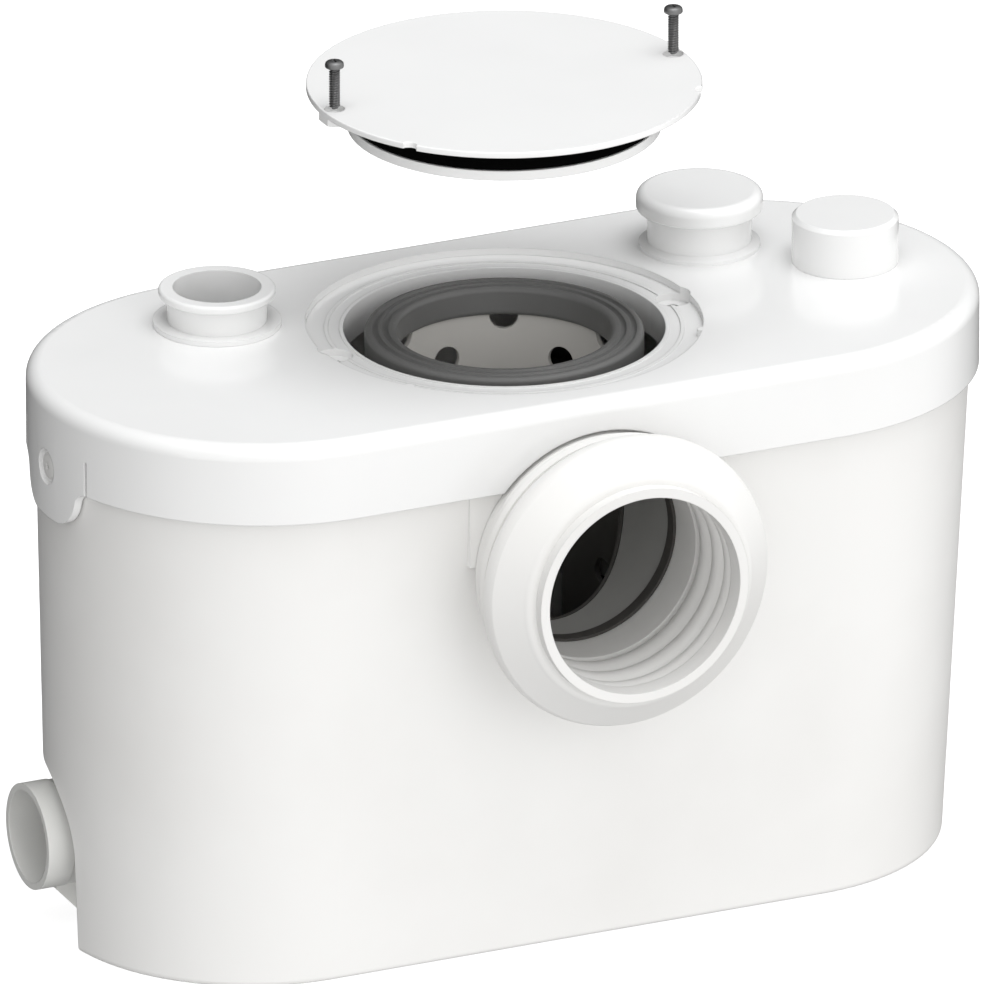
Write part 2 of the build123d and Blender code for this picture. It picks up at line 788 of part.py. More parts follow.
with BuildPart() as basket:
    with BuildSketch(Plane.XY.offset(basket_floor_z)):
        Circle(basket_radius)
    extrude(amount=basket_top_z - basket_floor_z)
    with BuildSketch(Plane.XY.offset(basket_floor_z + basket_wall)):
        Circle(basket_radius - basket_wall)
    extrude(amount=basket_top_z, mode=Mode.SUBTRACT)
    with BuildSketch(Plane.XY.offset(tank_floor)):
        with GridLocations(2 * basket_foot_spread, 2 * basket_foot_spread, 2, 2):
            Circle(basket_foot_radius)
        Circle(basket_radius, mode=Mode.INTERSECT)
    extrude(amount=basket_foot_height)
    with BuildSketch(*basket_hole_planes):
        Circle(basket_hole_radius)
    extrude(amount=basket_radius + overrun, mode=Mode.SUBTRACT)
    with BuildSketch(Plane.XZ):
        with Locations((0, wc_z)):
            Circle(wc_socket_radius - wc_pipe_wall - fit_gap)
    extrude(amount=basket_radius + overrun, mode=Mode.SUBTRACT)
    window_turn = radians(basket_window_angle)
    window_plane = Plane(
        origin=(0, 0, basket_window_bottom_z),
        x_dir=(-sin(window_turn), cos(window_turn), 0),
        z_dir=(cos(window_turn), sin(window_turn), 0),
    )
    with BuildSketch(window_plane):
        with Locations((0, (basket_window_height - basket_window_width / 2) / 2)):
            Rectangle(basket_window_width, basket_window_height - basket_window_width / 2)
        with Locations((0, basket_window_height - basket_window_width / 2)):
            Circle(basket_window_width / 2)
    extrude(amount=basket_radius + overrun, mode=Mode.SUBTRACT)
    with BuildSketch(Plane.YZ):
        with Locations((0, pump_axis_z)):
            Circle(pump_eye_radius)
    extrude(amount=basket_radius + overrun, mode=Mode.SUBTRACT)
keep(basket, "basket")

# WC inlet gasket: white rubber sleeve with three outer ribs, a domed front and inner folds
socket_end_y = wc_face_y + wc_socket_length
body_end_y = socket_end_y - wc_seal_width - 2 * wc_seal_lip
body_radius = wc_socket_radius - fit_gap
bore_radius = body_radius - wc_body_wall
gasket_back_y = wc_face_y - fit_gap
shoulder_y = gasket_back_y - len(wc_rib_radii) * wc_rib_pitch
rim_back_y = shoulder_y - wc_neck_length
rim_front_y = rim_back_y - wc_rim_length
lip_root_y = wc_front_y + wc_lip_length
lip_radius = wc_mouth_radius + wc_lip_width
rib_rise = wc_rib_pitch - wc_rib_groove
neck_radius = wc_rib_radii[-1] - wc_rib_groove
fold_start_y = wc_front_y + wc_mouth_length
fold_end_y = fold_start_y + wc_fold_count * wc_fold_pitch
crest_radius = wc_mouth_radius + wc_fold_crest
valley_radius = crest_radius + wc_fold_depth
gasket_outer = [(body_end_y, body_radius), (gasket_back_y, body_radius)]
for index, rib_radius in enumerate(wc_rib_radii):
    rib_y = gasket_back_y - index * wc_rib_pitch
    gasket_outer.append((rib_y, rib_radius))
    gasket_outer.append((rib_y - rib_rise, rib_radius))
    gasket_outer.append((rib_y - rib_rise, rib_radius - wc_rib_groove))
    gasket_outer.append((rib_y - wc_rib_pitch, rib_radius - wc_rib_groove))
gasket_outer.append((rim_back_y, neck_radius))
gasket_outer.append((rim_back_y, wc_dome_radius - wc_rim_drop / 2))
with BuildPart() as wc_inlet_gasket:
    with BuildSketch(Plane.YZ):
        with BuildLine():
            Polyline(*[(y, wc_z + radius) for y, radius in gasket_outer])
            ThreePointArc(
                (rim_back_y, wc_z + wc_dome_radius - wc_rim_drop / 2),
                (rim_back_y - wc_rim_crest_share * wc_rim_length, wc_z + wc_dome_radius),
                (rim_front_y, wc_z + wc_dome_radius - wc_rim_drop),
            )
            Line(
                (rim_front_y, wc_z + wc_dome_radius - wc_rim_drop),
                (lip_root_y + wc_cone_fillet, wc_z + lip_radius + wc_cone_foot),
            )
            ThreePointArc(
                (lip_root_y + wc_cone_fillet, wc_z + lip_radius + wc_cone_foot),
                (lip_root_y + wc_cone_fillet / 4, wc_z + lip_radius + wc_cone_foot - wc_cone_fillet),
                (lip_root_y, wc_z + lip_radius + wc_cone_fillet / 2),
            )
            Polyline(
                (lip_root_y, wc_z + lip_radius + wc_cone_fillet / 2),
                (lip_root_y, wc_z + lip_radius),
                (wc_front_y, wc_z + lip_radius),
                (wc_front_y, wc_z + wc_mouth_radius),
                (fold_start_y, wc_z + wc_mouth_radius),
                (fold_start_y, wc_z + valley_radius),
            )
            for fold in range(wc_fold_count):
                fold_y = fold_start_y + fold * wc_fold_pitch
                ThreePointArc(
                    (fold_y, wc_z + valley_radius),
                    (fold_y + wc_fold_pitch / 2, wc_z + crest_radius),
                    (fold_y + wc_fold_pitch, wc_z + valley_radius),
                )
            Polyline(
                (fold_end_y, wc_z + valley_radius),
                (fold_end_y, wc_z + bore_radius),
                (body_end_y, wc_z + bore_radius),
                (body_end_y, wc_z + body_radius),
            )
        make_face()
    revolve(axis=wc_axis)
keep(wc_inlet_gasket, "wc_inlet_gasket")

# WC inlet seal: thin dark rubber ring between the gasket and the pipe
with BuildPart() as wc_inlet_seal:
    with BuildSketch(Plane.XZ.offset(-body_end_y)):
        with Locations((0, wc_z)):
            Circle(body_radius)
            Circle(bore_radius - wc_seal_lip, mode=Mode.SUBTRACT)
    extrude(amount=-wc_seal_width)
keep(wc_inlet_seal, "wc_inlet_seal")

# WC inlet pipe: a grey tube from the seal to the basket, cut to the basket's curve
pipe_start_y = body_end_y + wc_seal_width
with BuildPart() as wc_inlet_pipe:
    with BuildSketch(Plane.XZ.offset(-pipe_start_y)):
        with Locations((0, wc_z)):
            Circle(body_radius)
            Circle(body_radius - wc_pipe_wall, mode=Mode.SUBTRACT)
    extrude(amount=pipe_start_y)
    with BuildSketch(Plane.XY.offset(basket_floor_z)):
        Circle(basket_radius + fit_gap)
    extrude(amount=lid_top_z, mode=Mode.SUBTRACT)
keep(wc_inlet_pipe, "wc_inlet_pipe")

# Low side inlet: a stub with a flange on the recess, a gusset below and ears for the flap.
# Its first length, clear of the gusset, is the slightly proud land for a clamped sleeve.
side_end_x = recess_x - side_reach
side_inner_x = recess_x + tank_wall + side_inward
flap_pin_z = side_z + side_outer_radius + flap_pin_rise
flap_x = side_inner_x + flap_gap
flap_pin_x = flap_x + flap_thickness / 2
ear_spread = (flap_eye_width + ear_width) / 2 + fit_gap
ear_root_x = recess_x + tank_wall + fit_gap
with BuildPart() as side_inlet:
    with BuildSketch(Plane.YZ.offset(side_end_x)):
        with Locations((side_y, side_z)):
            Circle(side_outer_radius - side_land)
    extrude(amount=side_inner_x - side_end_x)
    with BuildSketch(Plane.YZ.offset(side_end_x)):
        with Locations((side_y, side_z)):
            Circle(side_outer_radius)
    extrude(amount=side_reach - gusset_reach)
    with BuildSketch(Plane.YZ.offset(recess_x)):
        with Locations((side_y, side_z)):
            Circle(side_flange_radius)
    extrude(amount=-side_flange)
    with BuildSketch(Plane.XZ.offset(-side_y)):
        with BuildLine():
            Polyline(
                (recess_x, side_z),
                (recess_x - gusset_reach, side_z),
                (recess_x - gusset_reach, side_z - side_outer_radius - gusset_toe),
                (recess_x - side_flange, gusset_foot_z),
                (recess_x, gusset_foot_z),
                close=True,
            )
        make_face()
    extrude(amount=gusset_thickness / 2, both=True)
    for cheek in (-1, 1):
        with BuildSketch(Plane.XZ.offset(-side_y - cheek * ear_spread)):
            with Locations((flap_pin_x, flap_pin_z)):
                Circle(flap_pin_radius + ear_wall)
            with Locations(((ear_root_x + flap_pin_x) / 2, flap_pin_z)):
                Rectangle(flap_pin_x - ear_root_x, 2 * (flap_pin_radius + ear_wall))
            with Locations(((ear_root_x + side_inner_x) / 2, flap_pin_z - flap_pin_rise)):
                Rectangle(side_inner_x - ear_root_x, 2 * flap_pin_rise)
        extrude(amount=ear_width / 2, both=True)
    with BuildSketch(Plane.YZ.offset(side_inner_x)):
        with Locations((side_y, side_z)):
            Circle(side_outer_radius + flap_overlap)
    extrude(amount=flap_thickness + overrun, mode=Mode.SUBTRACT)
    with BuildSketch(Plane.YZ.offset(side_end_x - overrun)):
        with Locations((side_y, side_z)):
            Circle(side_inner_radius)
    extrude(amount=side_inner_x - side_end_x + 4 * overrun, mode=Mode.SUBTRACT)
    with BuildSketch(Plane.XZ.offset(-side_y)):
        with Locations((flap_pin_x, flap_pin_z)):
            Circle(flap_pin_radius + running_gap)
    extrude(amount=side_outer_radius, both=True, mode=Mode.SUBTRACT)
keep(side_inlet, "side_inlet")

# Flap of the side inlet: hangs on its pin and closes the inner end of the stub
with BuildPart() as side_flap:
    with BuildSketch(Plane.YZ.offset(flap_x)):
        with Locations((side_y, side_z)):
            Circle(side_outer_radius + flap_overlap - fit_gap)
        with Locations((side_y, (side_z + flap_pin_z) / 2)):
            Rectangle(flap_eye_width, flap_pin_z - side_z)
    extrude(amount=flap_thickness)
    with BuildSketch(Plane.XZ.offset(-side_y)):
        with Locations((flap_pin_x, flap_pin_z)):
            Circle(flap_pin_radius + flap_eye_wall)
    extrude(amount=flap_eye_width / 2, both=True)
    with BuildSketch(Plane.XZ.offset(-side_y)):
        with Locations((flap_pin_x, flap_pin_z)):
            Circle(flap_pin_radius + running_gap)
    extrude(amount=flap_eye_width, both=True, mode=Mode.SUBTRACT)
keep(side_flap, "side_flap")

with BuildPart() as side_flap_pin:
    with BuildSketch(Plane.XZ.offset(-side_y)):
        with Locations((flap_pin_x, flap_pin_z)):
            Circle(flap_pin_radius)
    extrude(amount=ear_spread + ear_width, both=True)
keep(side_flap_pin, "side_flap_pin")

# Top inlet nozzle: an open flanged socket pushed down through the lid
nozzle_top_z = lid_top_z + nozzle_height
with BuildPart() as top_inlet_nozzle:
    with BuildSketch(upright(nozzle_x, nozzle_y)):
        with BuildLine():
            Polyline(
                (nozzle_bore_radius, lid_top_z - nozzle_tail),
                (nozzle_neck_radius, lid_top_z - nozzle_tail),
                (nozzle_neck_radius, lid_top_z),
                (nozzle_base_radius, lid_top_z),
                (nozzle_base_radius, lid_top_z + nozzle_base),
                (nozzle_neck_radius, lid_top_z + nozzle_base),
                (nozzle_neck_radius, nozzle_top_z - nozzle_flange),
                (nozzle_flange_radius, nozzle_top_z - nozzle_flange),
                (nozzle_flange_radius, nozzle_top_z),
                (nozzle_bore_radius, nozzle_top_z),
                close=True,
            )
        make_face()
    revolve(axis=Axis((nozzle_x, nozzle_y, 0), (0, 0, 1)))
    rim_edges = top_inlet_nozzle.edges().filter_by(GeomType.CIRCLE).group_by(Axis.Z)[-2:]
    fillet(rim_edges[0] + rim_edges[1].sort_by(SortBy.RADIUS)[-1:], nozzle_flange / 3)
keep(top_inlet_nozzle, "top_inlet_nozzle")

# Vent cap: a mushroom with a plug that drops into the neck, over a carbon filter
vent_seat_z = lid_top_z + vent_neck_height
vent_top_z = vent_seat_z + vent_cap_height
plug_radius = vent_neck_radius - vent_neck_wall - fit_gap
with BuildPart() as vent_cap:
    with BuildSketch(Plane.XY.offset(vent_seat_z)):
        with Locations((vent_x, vent_y)):
            Circle(vent_cap_radius)
    extrude(amount=vent_cap_height)
    fillet(vent_cap.edges().group_by(Axis.Z)[-1], vent_cap_edge)
    fillet(vent_cap.edges().group_by(Axis.Z)[0], vent_cap_edge / 3)
    with BuildSketch(Plane.XY.offset(vent_seat_z)):
        with Locations((vent_x, vent_y)):
            Circle(plug_radius)
            Circle(plug_radius - vent_plug_wall, mode=Mode.SUBTRACT)
    extrude(amount=-vent_plug_length)
keep(vent_cap, "vent_cap")

with BuildPart() as carbon_filter:
    with BuildSketch(Plane.XY.offset(lid_top_z)):
        with Locations((vent_x, vent_y)):
            Circle(plug_radius)
    extrude(amount=filter_height)
keep(carbon_filter, "carbon_filter")

# Discharge: the spigot under its cap, the check valve below the lid, its flap and pin
valve_top_z = lid_under_z
valve_low_z = valve_top_z - valve_length
valve_seat_z = valve_low_z + valve_socket_depth + valve_seat_height
valve_flap_z = valve_seat_z + fit_gap
valve_pin_y = outlet_y + valve_pin_offset
valve_eye_radius = valve_pin_radius + valve_eye_wall
valve_pin_z = valve_flap_z + valve_eye_radius
outlet_axis = Axis((outlet_x, outlet_y, 0), (0, 0, 1))
cap_plug_radius = spigot_radius - spigot_wall - fit_gap
with BuildPart() as discharge_spigot:
    with BuildSketch(Plane.XY.offset(lid_under_z)):
        with Locations((outlet_x, outlet_y)):
            Circle(spigot_radius)
            Circle(spigot_radius - spigot_wall, mode=Mode.SUBTRACT)
    extrude(amount=lid_plate + spigot_height)
    with BuildSketch(Plane.XY.offset(lid_under_z)):
        with Locations((outlet_x, outlet_y)):
            Circle(spigot_radius + spigot_shoulder)
            Circle(spigot_radius, mode=Mode.SUBTRACT)
    extrude(amount=lid_plate)
    chamfer(discharge_spigot.edges().group_by(Axis.Z)[-1].sort_by(SortBy.RADIUS)[-1:], spigot_wall / 3)
keep(discharge_spigot, "discharge_spigot")

with BuildPart() as check_valve_body:
    with BuildSketch(upright(outlet_x, outlet_y)):
        with BuildLine():
            Polyline(
                (riser_radius + fit_gap, valve_low_z),
                (valve_radius, valve_low_z),
                (valve_radius, valve_top_z - valve_flange),
                (valve_flange_radius, valve_top_z - valve_flange),
                (valve_flange_radius, valve_top_z),
                (valve_bore_radius, valve_top_z),
                (valve_bore_radius, valve_seat_z),
                (valve_seat_hole_radius, valve_seat_z),
                (valve_seat_hole_radius, valve_seat_z - valve_seat_height),
                (riser_radius + fit_gap, valve_seat_z - valve_seat_height),
                close=True,
            )
        make_face()
    revolve(axis=outlet_axis)
    ear_offset = (valve_eye_width + valve_ear_width) / 2 + fit_gap
    for cheek in (-1, 1):
        with BuildSketch(Plane.YZ.offset(outlet_x + cheek * ear_offset)):
            with Locations((valve_pin_y, valve_pin_z)):
                Circle(valve_eye_radius)
            with Locations((valve_pin_y, (valve_seat_z + valve_pin_z) / 2)):
                Rectangle(2 * valve_eye_radius, valve_pin_z - valve_seat_z)
        extrude(amount=valve_ear_width / 2, both=True)
    with BuildSketch(Plane.YZ.offset(outlet_x)):
        with Locations((valve_pin_y, valve_pin_z)):
            Circle(valve_pin_radius + running_gap)
    extrude(amount=ear_offset + valve_ear_width / 2 + fit_gap, both=True, mode=Mode.SUBTRACT)
keep(check_valve_body, "check_valve_body")

with BuildPart() as check_valve_flap:
    with BuildSketch(Plane.XY.offset(valve_flap_z)):
        with Locations((outlet_x, outlet_y)):
            Circle(valve_flap_radius)
        with Locations((outlet_x, (outlet_y + valve_pin_y) / 2)):
            Rectangle(valve_eye_width, valve_pin_offset)
        with Locations(
            (outlet_x - ear_offset, valve_pin_y),
            (outlet_x + ear_offset, valve_pin_y),
        ):
            Rectangle(
                valve_ear_width + 2 * fit_gap,
                2 * (valve_eye_radius + fit_gap),
                mode=Mode.SUBTRACT,
            )
    extrude(amount=valve_flap_thickness)
    with BuildSketch(Plane.YZ.offset(outlet_x)):
        with Locations((valve_pin_y, valve_pin_z)):
            Circle(valve_eye_radius)
    extrude(amount=valve_eye_width / 2, both=True)
    with BuildSketch(Plane.YZ.offset(outlet_x)):
        with Locations((valve_pin_y, valve_pin_z)):
            Circle(valve_pin_radius + running_gap)
    extrude(amount=valve_eye_width, both=True, mode=Mode.SUBTRACT)
keep(check_valve_flap, "check_valve_flap")

with BuildPart() as check_valve_pin:
    with BuildSketch(Plane.YZ.offset(outlet_x)):
        with Locations((valve_pin_y, valve_pin_z)):
            Circle(valve_pin_radius)
    extrude(amount=ear_offset + valve_ear_width / 2, both=True)
keep(check_valve_pin, "check_valve_pin")

with BuildPart() as discharge_cap:
    with BuildSketch(Plane.XY.offset(lid_top_z)):
        with Locations((outlet_x, outlet_y)):
            Circle(outlet_cap_radius)
    extrude(amount=outlet_cap_height)
    chamfer(discharge_cap.edges().group_by(Axis.Z)[-1], outlet_cap_bevel)
    with BuildSketch(Plane.XY.offset(lid_top_z)):
        with Locations((outlet_x, outlet_y)):
            Circle(outlet_cap_radius - outlet_cap_wall)
            Circle(cap_plug_radius, mode=Mode.SUBTRACT)
            Circle(cap_plug_radius - outlet_plug_wall)
    extrude(amount=outlet_cap_height - outlet_cap_wall, mode=Mode.SUBTRACT)
keep(discharge_cap, "discharge_cap")

# Riser pipe: from the pump's outlet up, across over the motor and up to the check valve
riser_x = pump_face_x + pump_length / 2
riser_top_z = valve_seat_z - valve_seat_height - fit_gap
riser_level_z = outlet_tube_top_z + riser_level_share * (riser_top_z - outlet_tube_top_z)
riser_bend = riser_bend_share * (riser_level_z - outlet_tube_top_z)
with BuildPart() as riser_pipe:
    with BuildLine():
        FilletPolyline(
            (riser_x, outlet_tube_y, outlet_tube_top_z),
            (riser_x, outlet_tube_y, riser_level_z),
            (outlet_x, outlet_y, riser_level_z),
            (outlet_x, outlet_y, riser_top_z),
            radius=riser_bend,
        )
    with BuildSketch(Plane.XY.offset(outlet_tube_top_z)):
        with Locations((riser_x, outlet_tube_y)):
            Circle(riser_radius)
            Circle(riser_radius - riser_wall, mode=Mode.SUBTRACT)
    sweep()
keep(riser_pipe, "riser_pipe")

# Pump casing: a cup against the motor with an outlet tube, closed by the pump cover
casing_x = pump_face_x + pump_cover_thickness
with BuildPart() as pump_casing:
    with BuildSketch(Plane.YZ.offset(casing_x)):
        with Locations((0, pump_axis_z)):
            Circle(pump_radius)
    extrude(amount=pump_length - pump_cover_thickness)
    with BuildSketch(Plane.XY.offset(pump_axis_z)):
        with Locations((riser_x, outlet_tube_y)):
            Circle(riser_radius)
    extrude(amount=outlet_tube_top_z - pump_axis_z)
    with BuildSketch(Plane.XY.offset(pump_axis_z + pump_radius - riser_radius)):
        with Locations((riser_x, outlet_tube_y)):
            Circle(riser_radius)
    extrude(amount=outlet_tube_top_z - pump_axis_z - pump_radius + riser_radius)
    with BuildSketch(Plane.YZ.offset(casing_x)):
        with Locations((0, pump_axis_z)):
            Circle(pump_radius - pump_wall)
    extrude(amount=pump_length - pump_cover_thickness - pump_back, mode=Mode.SUBTRACT)
    with BuildSketch(Plane.XY.offset(pump_axis_z)):
        with Locations((riser_x, outlet_tube_y)):
            Circle(riser_radius - riser_wall)
    extrude(amount=outlet_tube_top_z, mode=Mode.SUBTRACT)
    with BuildSketch(Plane.YZ.offset(casing_x)):
        with Locations((0, pump_axis_z)):
            Circle(shaft_seal_radius)
    extrude(amount=pump_length, mode=Mode.SUBTRACT)
    with BuildSketch(Plane.YZ.offset(pump_face_x)):
        Rectangle(lid_width, 2 * lid_top_z)
    extrude(amount=pump_cover_thickness, mode=Mode.SUBTRACT)
    with BuildSketch(Plane.YZ.offset(motor_x)):
        Rectangle(lid_width, 2 * (pump_axis_z + pump_radius))
    extrude(amount=overrun, mode=Mode.SUBTRACT)
keep(pump_casing, "pump_casing")

with BuildPart() as pump_cover:
    with BuildSketch(Plane.YZ.offset(pump_face_x)):
        with Locations((0, pump_axis_z)):
            Circle(pump_radius)
            Circle(pump_eye_radius, mode=Mode.SUBTRACT)
    extrude(amount=pump_cover_thickness)
keep(pump_cover, "pump_cover")

# Impeller: a disc with a hub and straight vanes that face the pump cover
impeller_back_x = motor_x - pump_back - impeller_axial_gap
impeller_disc_x = impeller_back_x - impeller_disc
vane_middle = (impeller_radius + impeller_hub_radius) / 2 - impeller_vane_width
with BuildPart() as impeller:
    with BuildSketch(Plane.YZ.offset(impeller_disc_x)):
        with Locations((0, pump_axis_z)):
            Circle(impeller_radius)
    extrude(amount=impeller_disc)
    with BuildSketch(Plane.YZ.offset(impeller_disc_x)):
        with Locations((0, pump_axis_z)):
            with PolarLocations(vane_middle, impeller_vanes):
                Rectangle(impeller_radius - impeller_hub_radius, impeller_vane_width)
            Circle(impeller_hub_radius)
    extrude(amount=-impeller_vane_height)
    with BuildSketch(Plane.YZ.offset(pump_face_x)):
        with Locations((0, pump_axis_z)):
            Circle(shaft_radius)
    extrude(amount=pump_length, mode=Mode.SUBTRACT)
keep(impeller, "impeller")

with BuildPart() as shaft_seal:
    with BuildSketch(Plane.YZ.offset(motor_x - pump_back)):
        with Locations((0, pump_axis_z)):
            Circle(shaft_seal_radius)
            Circle(shaft_bore, mode=Mode.SUBTRACT)
    extrude(amount=pump_back)
keep(shaft_seal, "shaft_seal")

# Motor housing: a tube with a front wall and bearing seat, two feet and a capacitor saddle
front_bearing_x = motor_x + motor_front
rear_bearing_x = motor_end_x - bearing_width
with BuildPart() as motor_housing:
    with BuildSketch(Plane.YZ.offset(motor_x)):
        with Locations((0, pump_axis_z)):
            Circle(pump_radius)
    extrude(amount=motor_length)
    for foot_x in (
        motor_x + motor_foot_inset,
        motor_end_x - motor_foot_inset - motor_foot_length,
    ):
        with BuildSketch(Plane.YZ.offset(foot_x)):
            with Locations((0, (tank_floor + pump_axis_z) / 2)):
                Rectangle(motor_foot_width, pump_axis_z - tank_floor)
        extrude(amount=motor_foot_length)
    with BuildSketch(Plane.YZ.offset(capacitor_x + capacitor_length / 2 - saddle_width / 2)):
        with BuildLine():
            Polyline(
                (capacitor_y * 2 / 3 - saddle_depth, pump_axis_z + pump_radius / 2),
                (capacitor_y * 2 / 3 + saddle_depth, pump_axis_z + pump_radius / 2),
                (capacitor_y + saddle_depth, capacitor_z),
                (capacitor_y - saddle_depth, capacitor_z),
                close=True,
            )
        make_face()
    extrude(amount=saddle_width)
    with BuildSketch(Plane.YZ.offset(motor_x)):
        with Locations((capacitor_y, capacitor_z)):
            Circle(capacitor_radius + fit_gap)
    extrude(amount=motor_length, mode=Mode.SUBTRACT)
    with BuildSketch(Plane.YZ.offset(motor_x + motor_front)):
        with Locations((0, pump_axis_z)):
            Circle(pump_radius - motor_wall)
    extrude(amount=motor_length, mode=Mode.SUBTRACT)
    with BuildSketch(Plane.YZ.offset(front_bearing_x)):
        with Locations((0, pump_axis_z)):
            Circle(bearing_radius + running_gap + bearing_seat_wall)
            Circle(bearing_radius + running_gap, mode=Mode.SUBTRACT)
    extrude(amount=bearing_width)
    with BuildSketch(Plane.YZ.offset(motor_x)):
        with Locations((0, pump_axis_z)):
            Circle(shaft_radius + fit_gap)
    extrude(amount=motor_length, mode=Mode.SUBTRACT)
keep(motor_housing, "motor_housing")

# Motor end cover: a disc with a spigot and the rear bearing seat
with BuildPart() as motor_end_cover:
    with BuildSketch(Plane.YZ.offset(motor_end_x)):
        with Locations((0, pump_axis_z)):
            Circle(pump_radius)
    extrude(amount=motor_end)
    with BuildSketch(Plane.YZ.offset(motor_end_x)):
        with Locations((0, pump_axis_z)):
            Circle(pump_radius - motor_wall - fit_gap)
            Circle(pump_radius - 2 * motor_wall - fit_gap, mode=Mode.SUBTRACT)
    extrude(amount=-motor_spigot)
    with BuildSketch(Plane.YZ.offset(motor_end_x)):
        with Locations((0, pump_axis_z)):
            Circle(bearing_radius + running_gap + bearing_seat_wall)
            Circle(bearing_radius + running_gap, mode=Mode.SUBTRACT)
    extrude(amount=-bearing_width)
    with BuildSketch(Plane.YZ.offset(motor_end_x)):
        with Locations((0, pump_axis_z)):
            Circle(shaft_radius + fit_gap)
    extrude(amount=motor_end - motor_end / 3, mode=Mode.SUBTRACT)
keep(motor_end_cover, "motor_end_cover")

with BuildPart() as bearings:
    with BuildSketch(Plane.YZ.offset(front_bearing_x), Plane.YZ.offset(rear_bearing_x)):
        with Locations((0, pump_axis_z)):
            Circle(bearing_radius)
            Circle(shaft_bore, mode=Mode.SUBTRACT)
    extrude(amount=bearing_width)
keep(bearings, "bearings")

# Stator: a slotted iron ring, with the end turns of its windings at both ends
stator_x = motor_x + stator_inset
stator_radius = pump_radius - motor_wall - fit_gap
with BuildPart() as stator:
    with BuildSketch(Plane.YZ.offset(stator_x)):
        with Locations((0, pump_axis_z)):
            Circle(stator_radius)
            Circle(stator_bore_radius, mode=Mode.SUBTRACT)
            with PolarLocations(stator_bore_radius + slot_depth / 2, stator_slots):
                Rectangle(slot_depth + stator_bore_radius / 4, slot_width, mode=Mode.SUBTRACT)
    extrude(amount=stator_length)
keep(stator, "stator")

with BuildPart() as windings:
    with BuildSketch(
        Plane.YZ.offset(stator_x - winding_length),
        Plane.YZ.offset(stator_x + stator_length),
    ):
        with Locations((0, pump_axis_z)):
            Circle(winding_outer_radius)
            Circle(winding_inner_radius, mode=Mode.SUBTRACT)
    extrude(amount=winding_length)
keep(windings, "windings")

# Rotor: the laminated core and the shaft that also carries the impeller and the blade
with BuildPart() as rotor_core:
    with BuildSketch(Plane.YZ.offset(stator_x)):
        with Locations((0, pump_axis_z)):
            Circle(stator_bore_radius - rotor_gap)
            Circle(shaft_radius, mode=Mode.SUBTRACT)
    extrude(amount=stator_length)
keep(rotor_core, "rotor_core")

with BuildPart() as motor_shaft:
    with BuildSketch(Plane.YZ.offset(shaft_nose_x)):
        with Locations((0, pump_axis_z)):
            Circle(shaft_radius)
    extrude(amount=motor_end_x + shaft_tail - shaft_nose_x)
    chamfer(motor_shaft.edges().group_by(Axis.X)[0], shaft_radius / 6)
keep(motor_shaft, "motor_shaft")

# Cutter blade: two arms with turned-up tips on a hub, held by a nut at the shaft's nose
with BuildPart() as cutter_blade:
    with BuildSketch(Plane.YZ.offset(blade_x)):
        with Locations((0, pump_axis_z)):
            SlotOverall(2 * blade_radius, blade_width)
    extrude(amount=blade_thickness)
    with BuildSketch(Plane.YZ.offset(blade_x)):
        with Locations((0, pump_axis_z)):
            Circle(blade_hub_radius)
    extrude(amount=blade_hub_length)
    with BuildSketch(Plane.YZ.offset(blade_x)):
        with Locations((0, pump_axis_z)):
            with PolarLocations(blade_radius - blade_width / 2, 2):
                Rectangle(blade_thickness, blade_width / 2)
    extrude(amount=-blade_tip_height)
    with BuildSketch(Plane.YZ.offset(blade_x - overrun)):
        with Locations((0, pump_axis_z)):
            Circle(shaft_radius)
    extrude(amount=blade_hub_length + 2 * overrun, mode=Mode.SUBTRACT)
keep(cutter_blade, "cutter_blade")

with BuildPart() as blade_nut:
    with BuildSketch(Plane.YZ.offset(blade_x - nut_height)):
        with Locations((0, pump_axis_z)):
            RegularPolygon(nut_width / 2, 6, major_radius=False)
            Circle(shaft_radius, mode=Mode.SUBTRACT)
    extrude(amount=nut_height)
keep(blade_nut, "blade_nut")

# Capacitor: a can on the saddle above the motor, with two terminals
with BuildPart() as capacitor:
    with BuildSketch(Plane.YZ.offset(capacitor_x)):
        with Locations((capacitor_y, capacitor_z)):
            Circle(capacitor_radius)
    extrude(amount=capacitor_length)
    fillet(capacitor.edges().filter_by(GeomType.CIRCLE), capacitor_radius / 8)
    with BuildSketch(Plane.YZ.offset(capacitor_x + capacitor_length)):
        with Locations(
            (capacitor_y - capacitor_terminal_spread, capacitor_z),
            (capacitor_y + capacitor_terminal_spread, capacitor_z),
        ):
            Circle(capacitor_terminal_radius)
    extrude(amount=capacitor_terminal_height)
keep(capacitor, "capacitor")

# Level sensing: air trapped in the tube lifts the plate, which works the microswitch
sensor_axis = Axis((sensor_x, sensor_y, 0), (0, 0, 1))
sensor_top_z = sensor_flange_z + sensor_flange
diaphragm_z = sensor_top_z + diaphragm_thickness
plate_top_z = diaphragm_z + plate_thickness
stem_top_z = plate_top_z + plate_stem_height
lever_z = stem_top_z + running_gap
lever_pin_x = sensor_x - lever_arm
switch_z = lever_z + lever_thickness + switch_rise
with BuildPart() as pressure_tube:
    with BuildSketch(upright(sensor_x, sensor_y)):
        with BuildLine():
            Polyline(
                (sensor_tube_radius - sensor_tube_wall, sensor_tube_bottom_z),
                (sensor_tube_radius, sensor_tube_bottom_z),
                (sensor_tube_radius, sensor_flange_z),
                (sensor_flange_radius, sensor_flange_z),
                (sensor_flange_radius, sensor_top_z),
                (sensor_tube_radius - sensor_tube_wall, sensor_top_z),
                close=True,
            )
        make_face()
    revolve(axis=sensor_axis)
keep(pressure_tube, "pressure_tube")

with BuildPart() as diaphragm:
    with BuildSketch(Plane.XY.offset(sensor_top_z)):
        with Locations((sensor_x, sensor_y)):
            Circle(sensor_flange_radius)
    extrude(amount=diaphragm_thickness)
keep(diaphragm, "diaphragm")

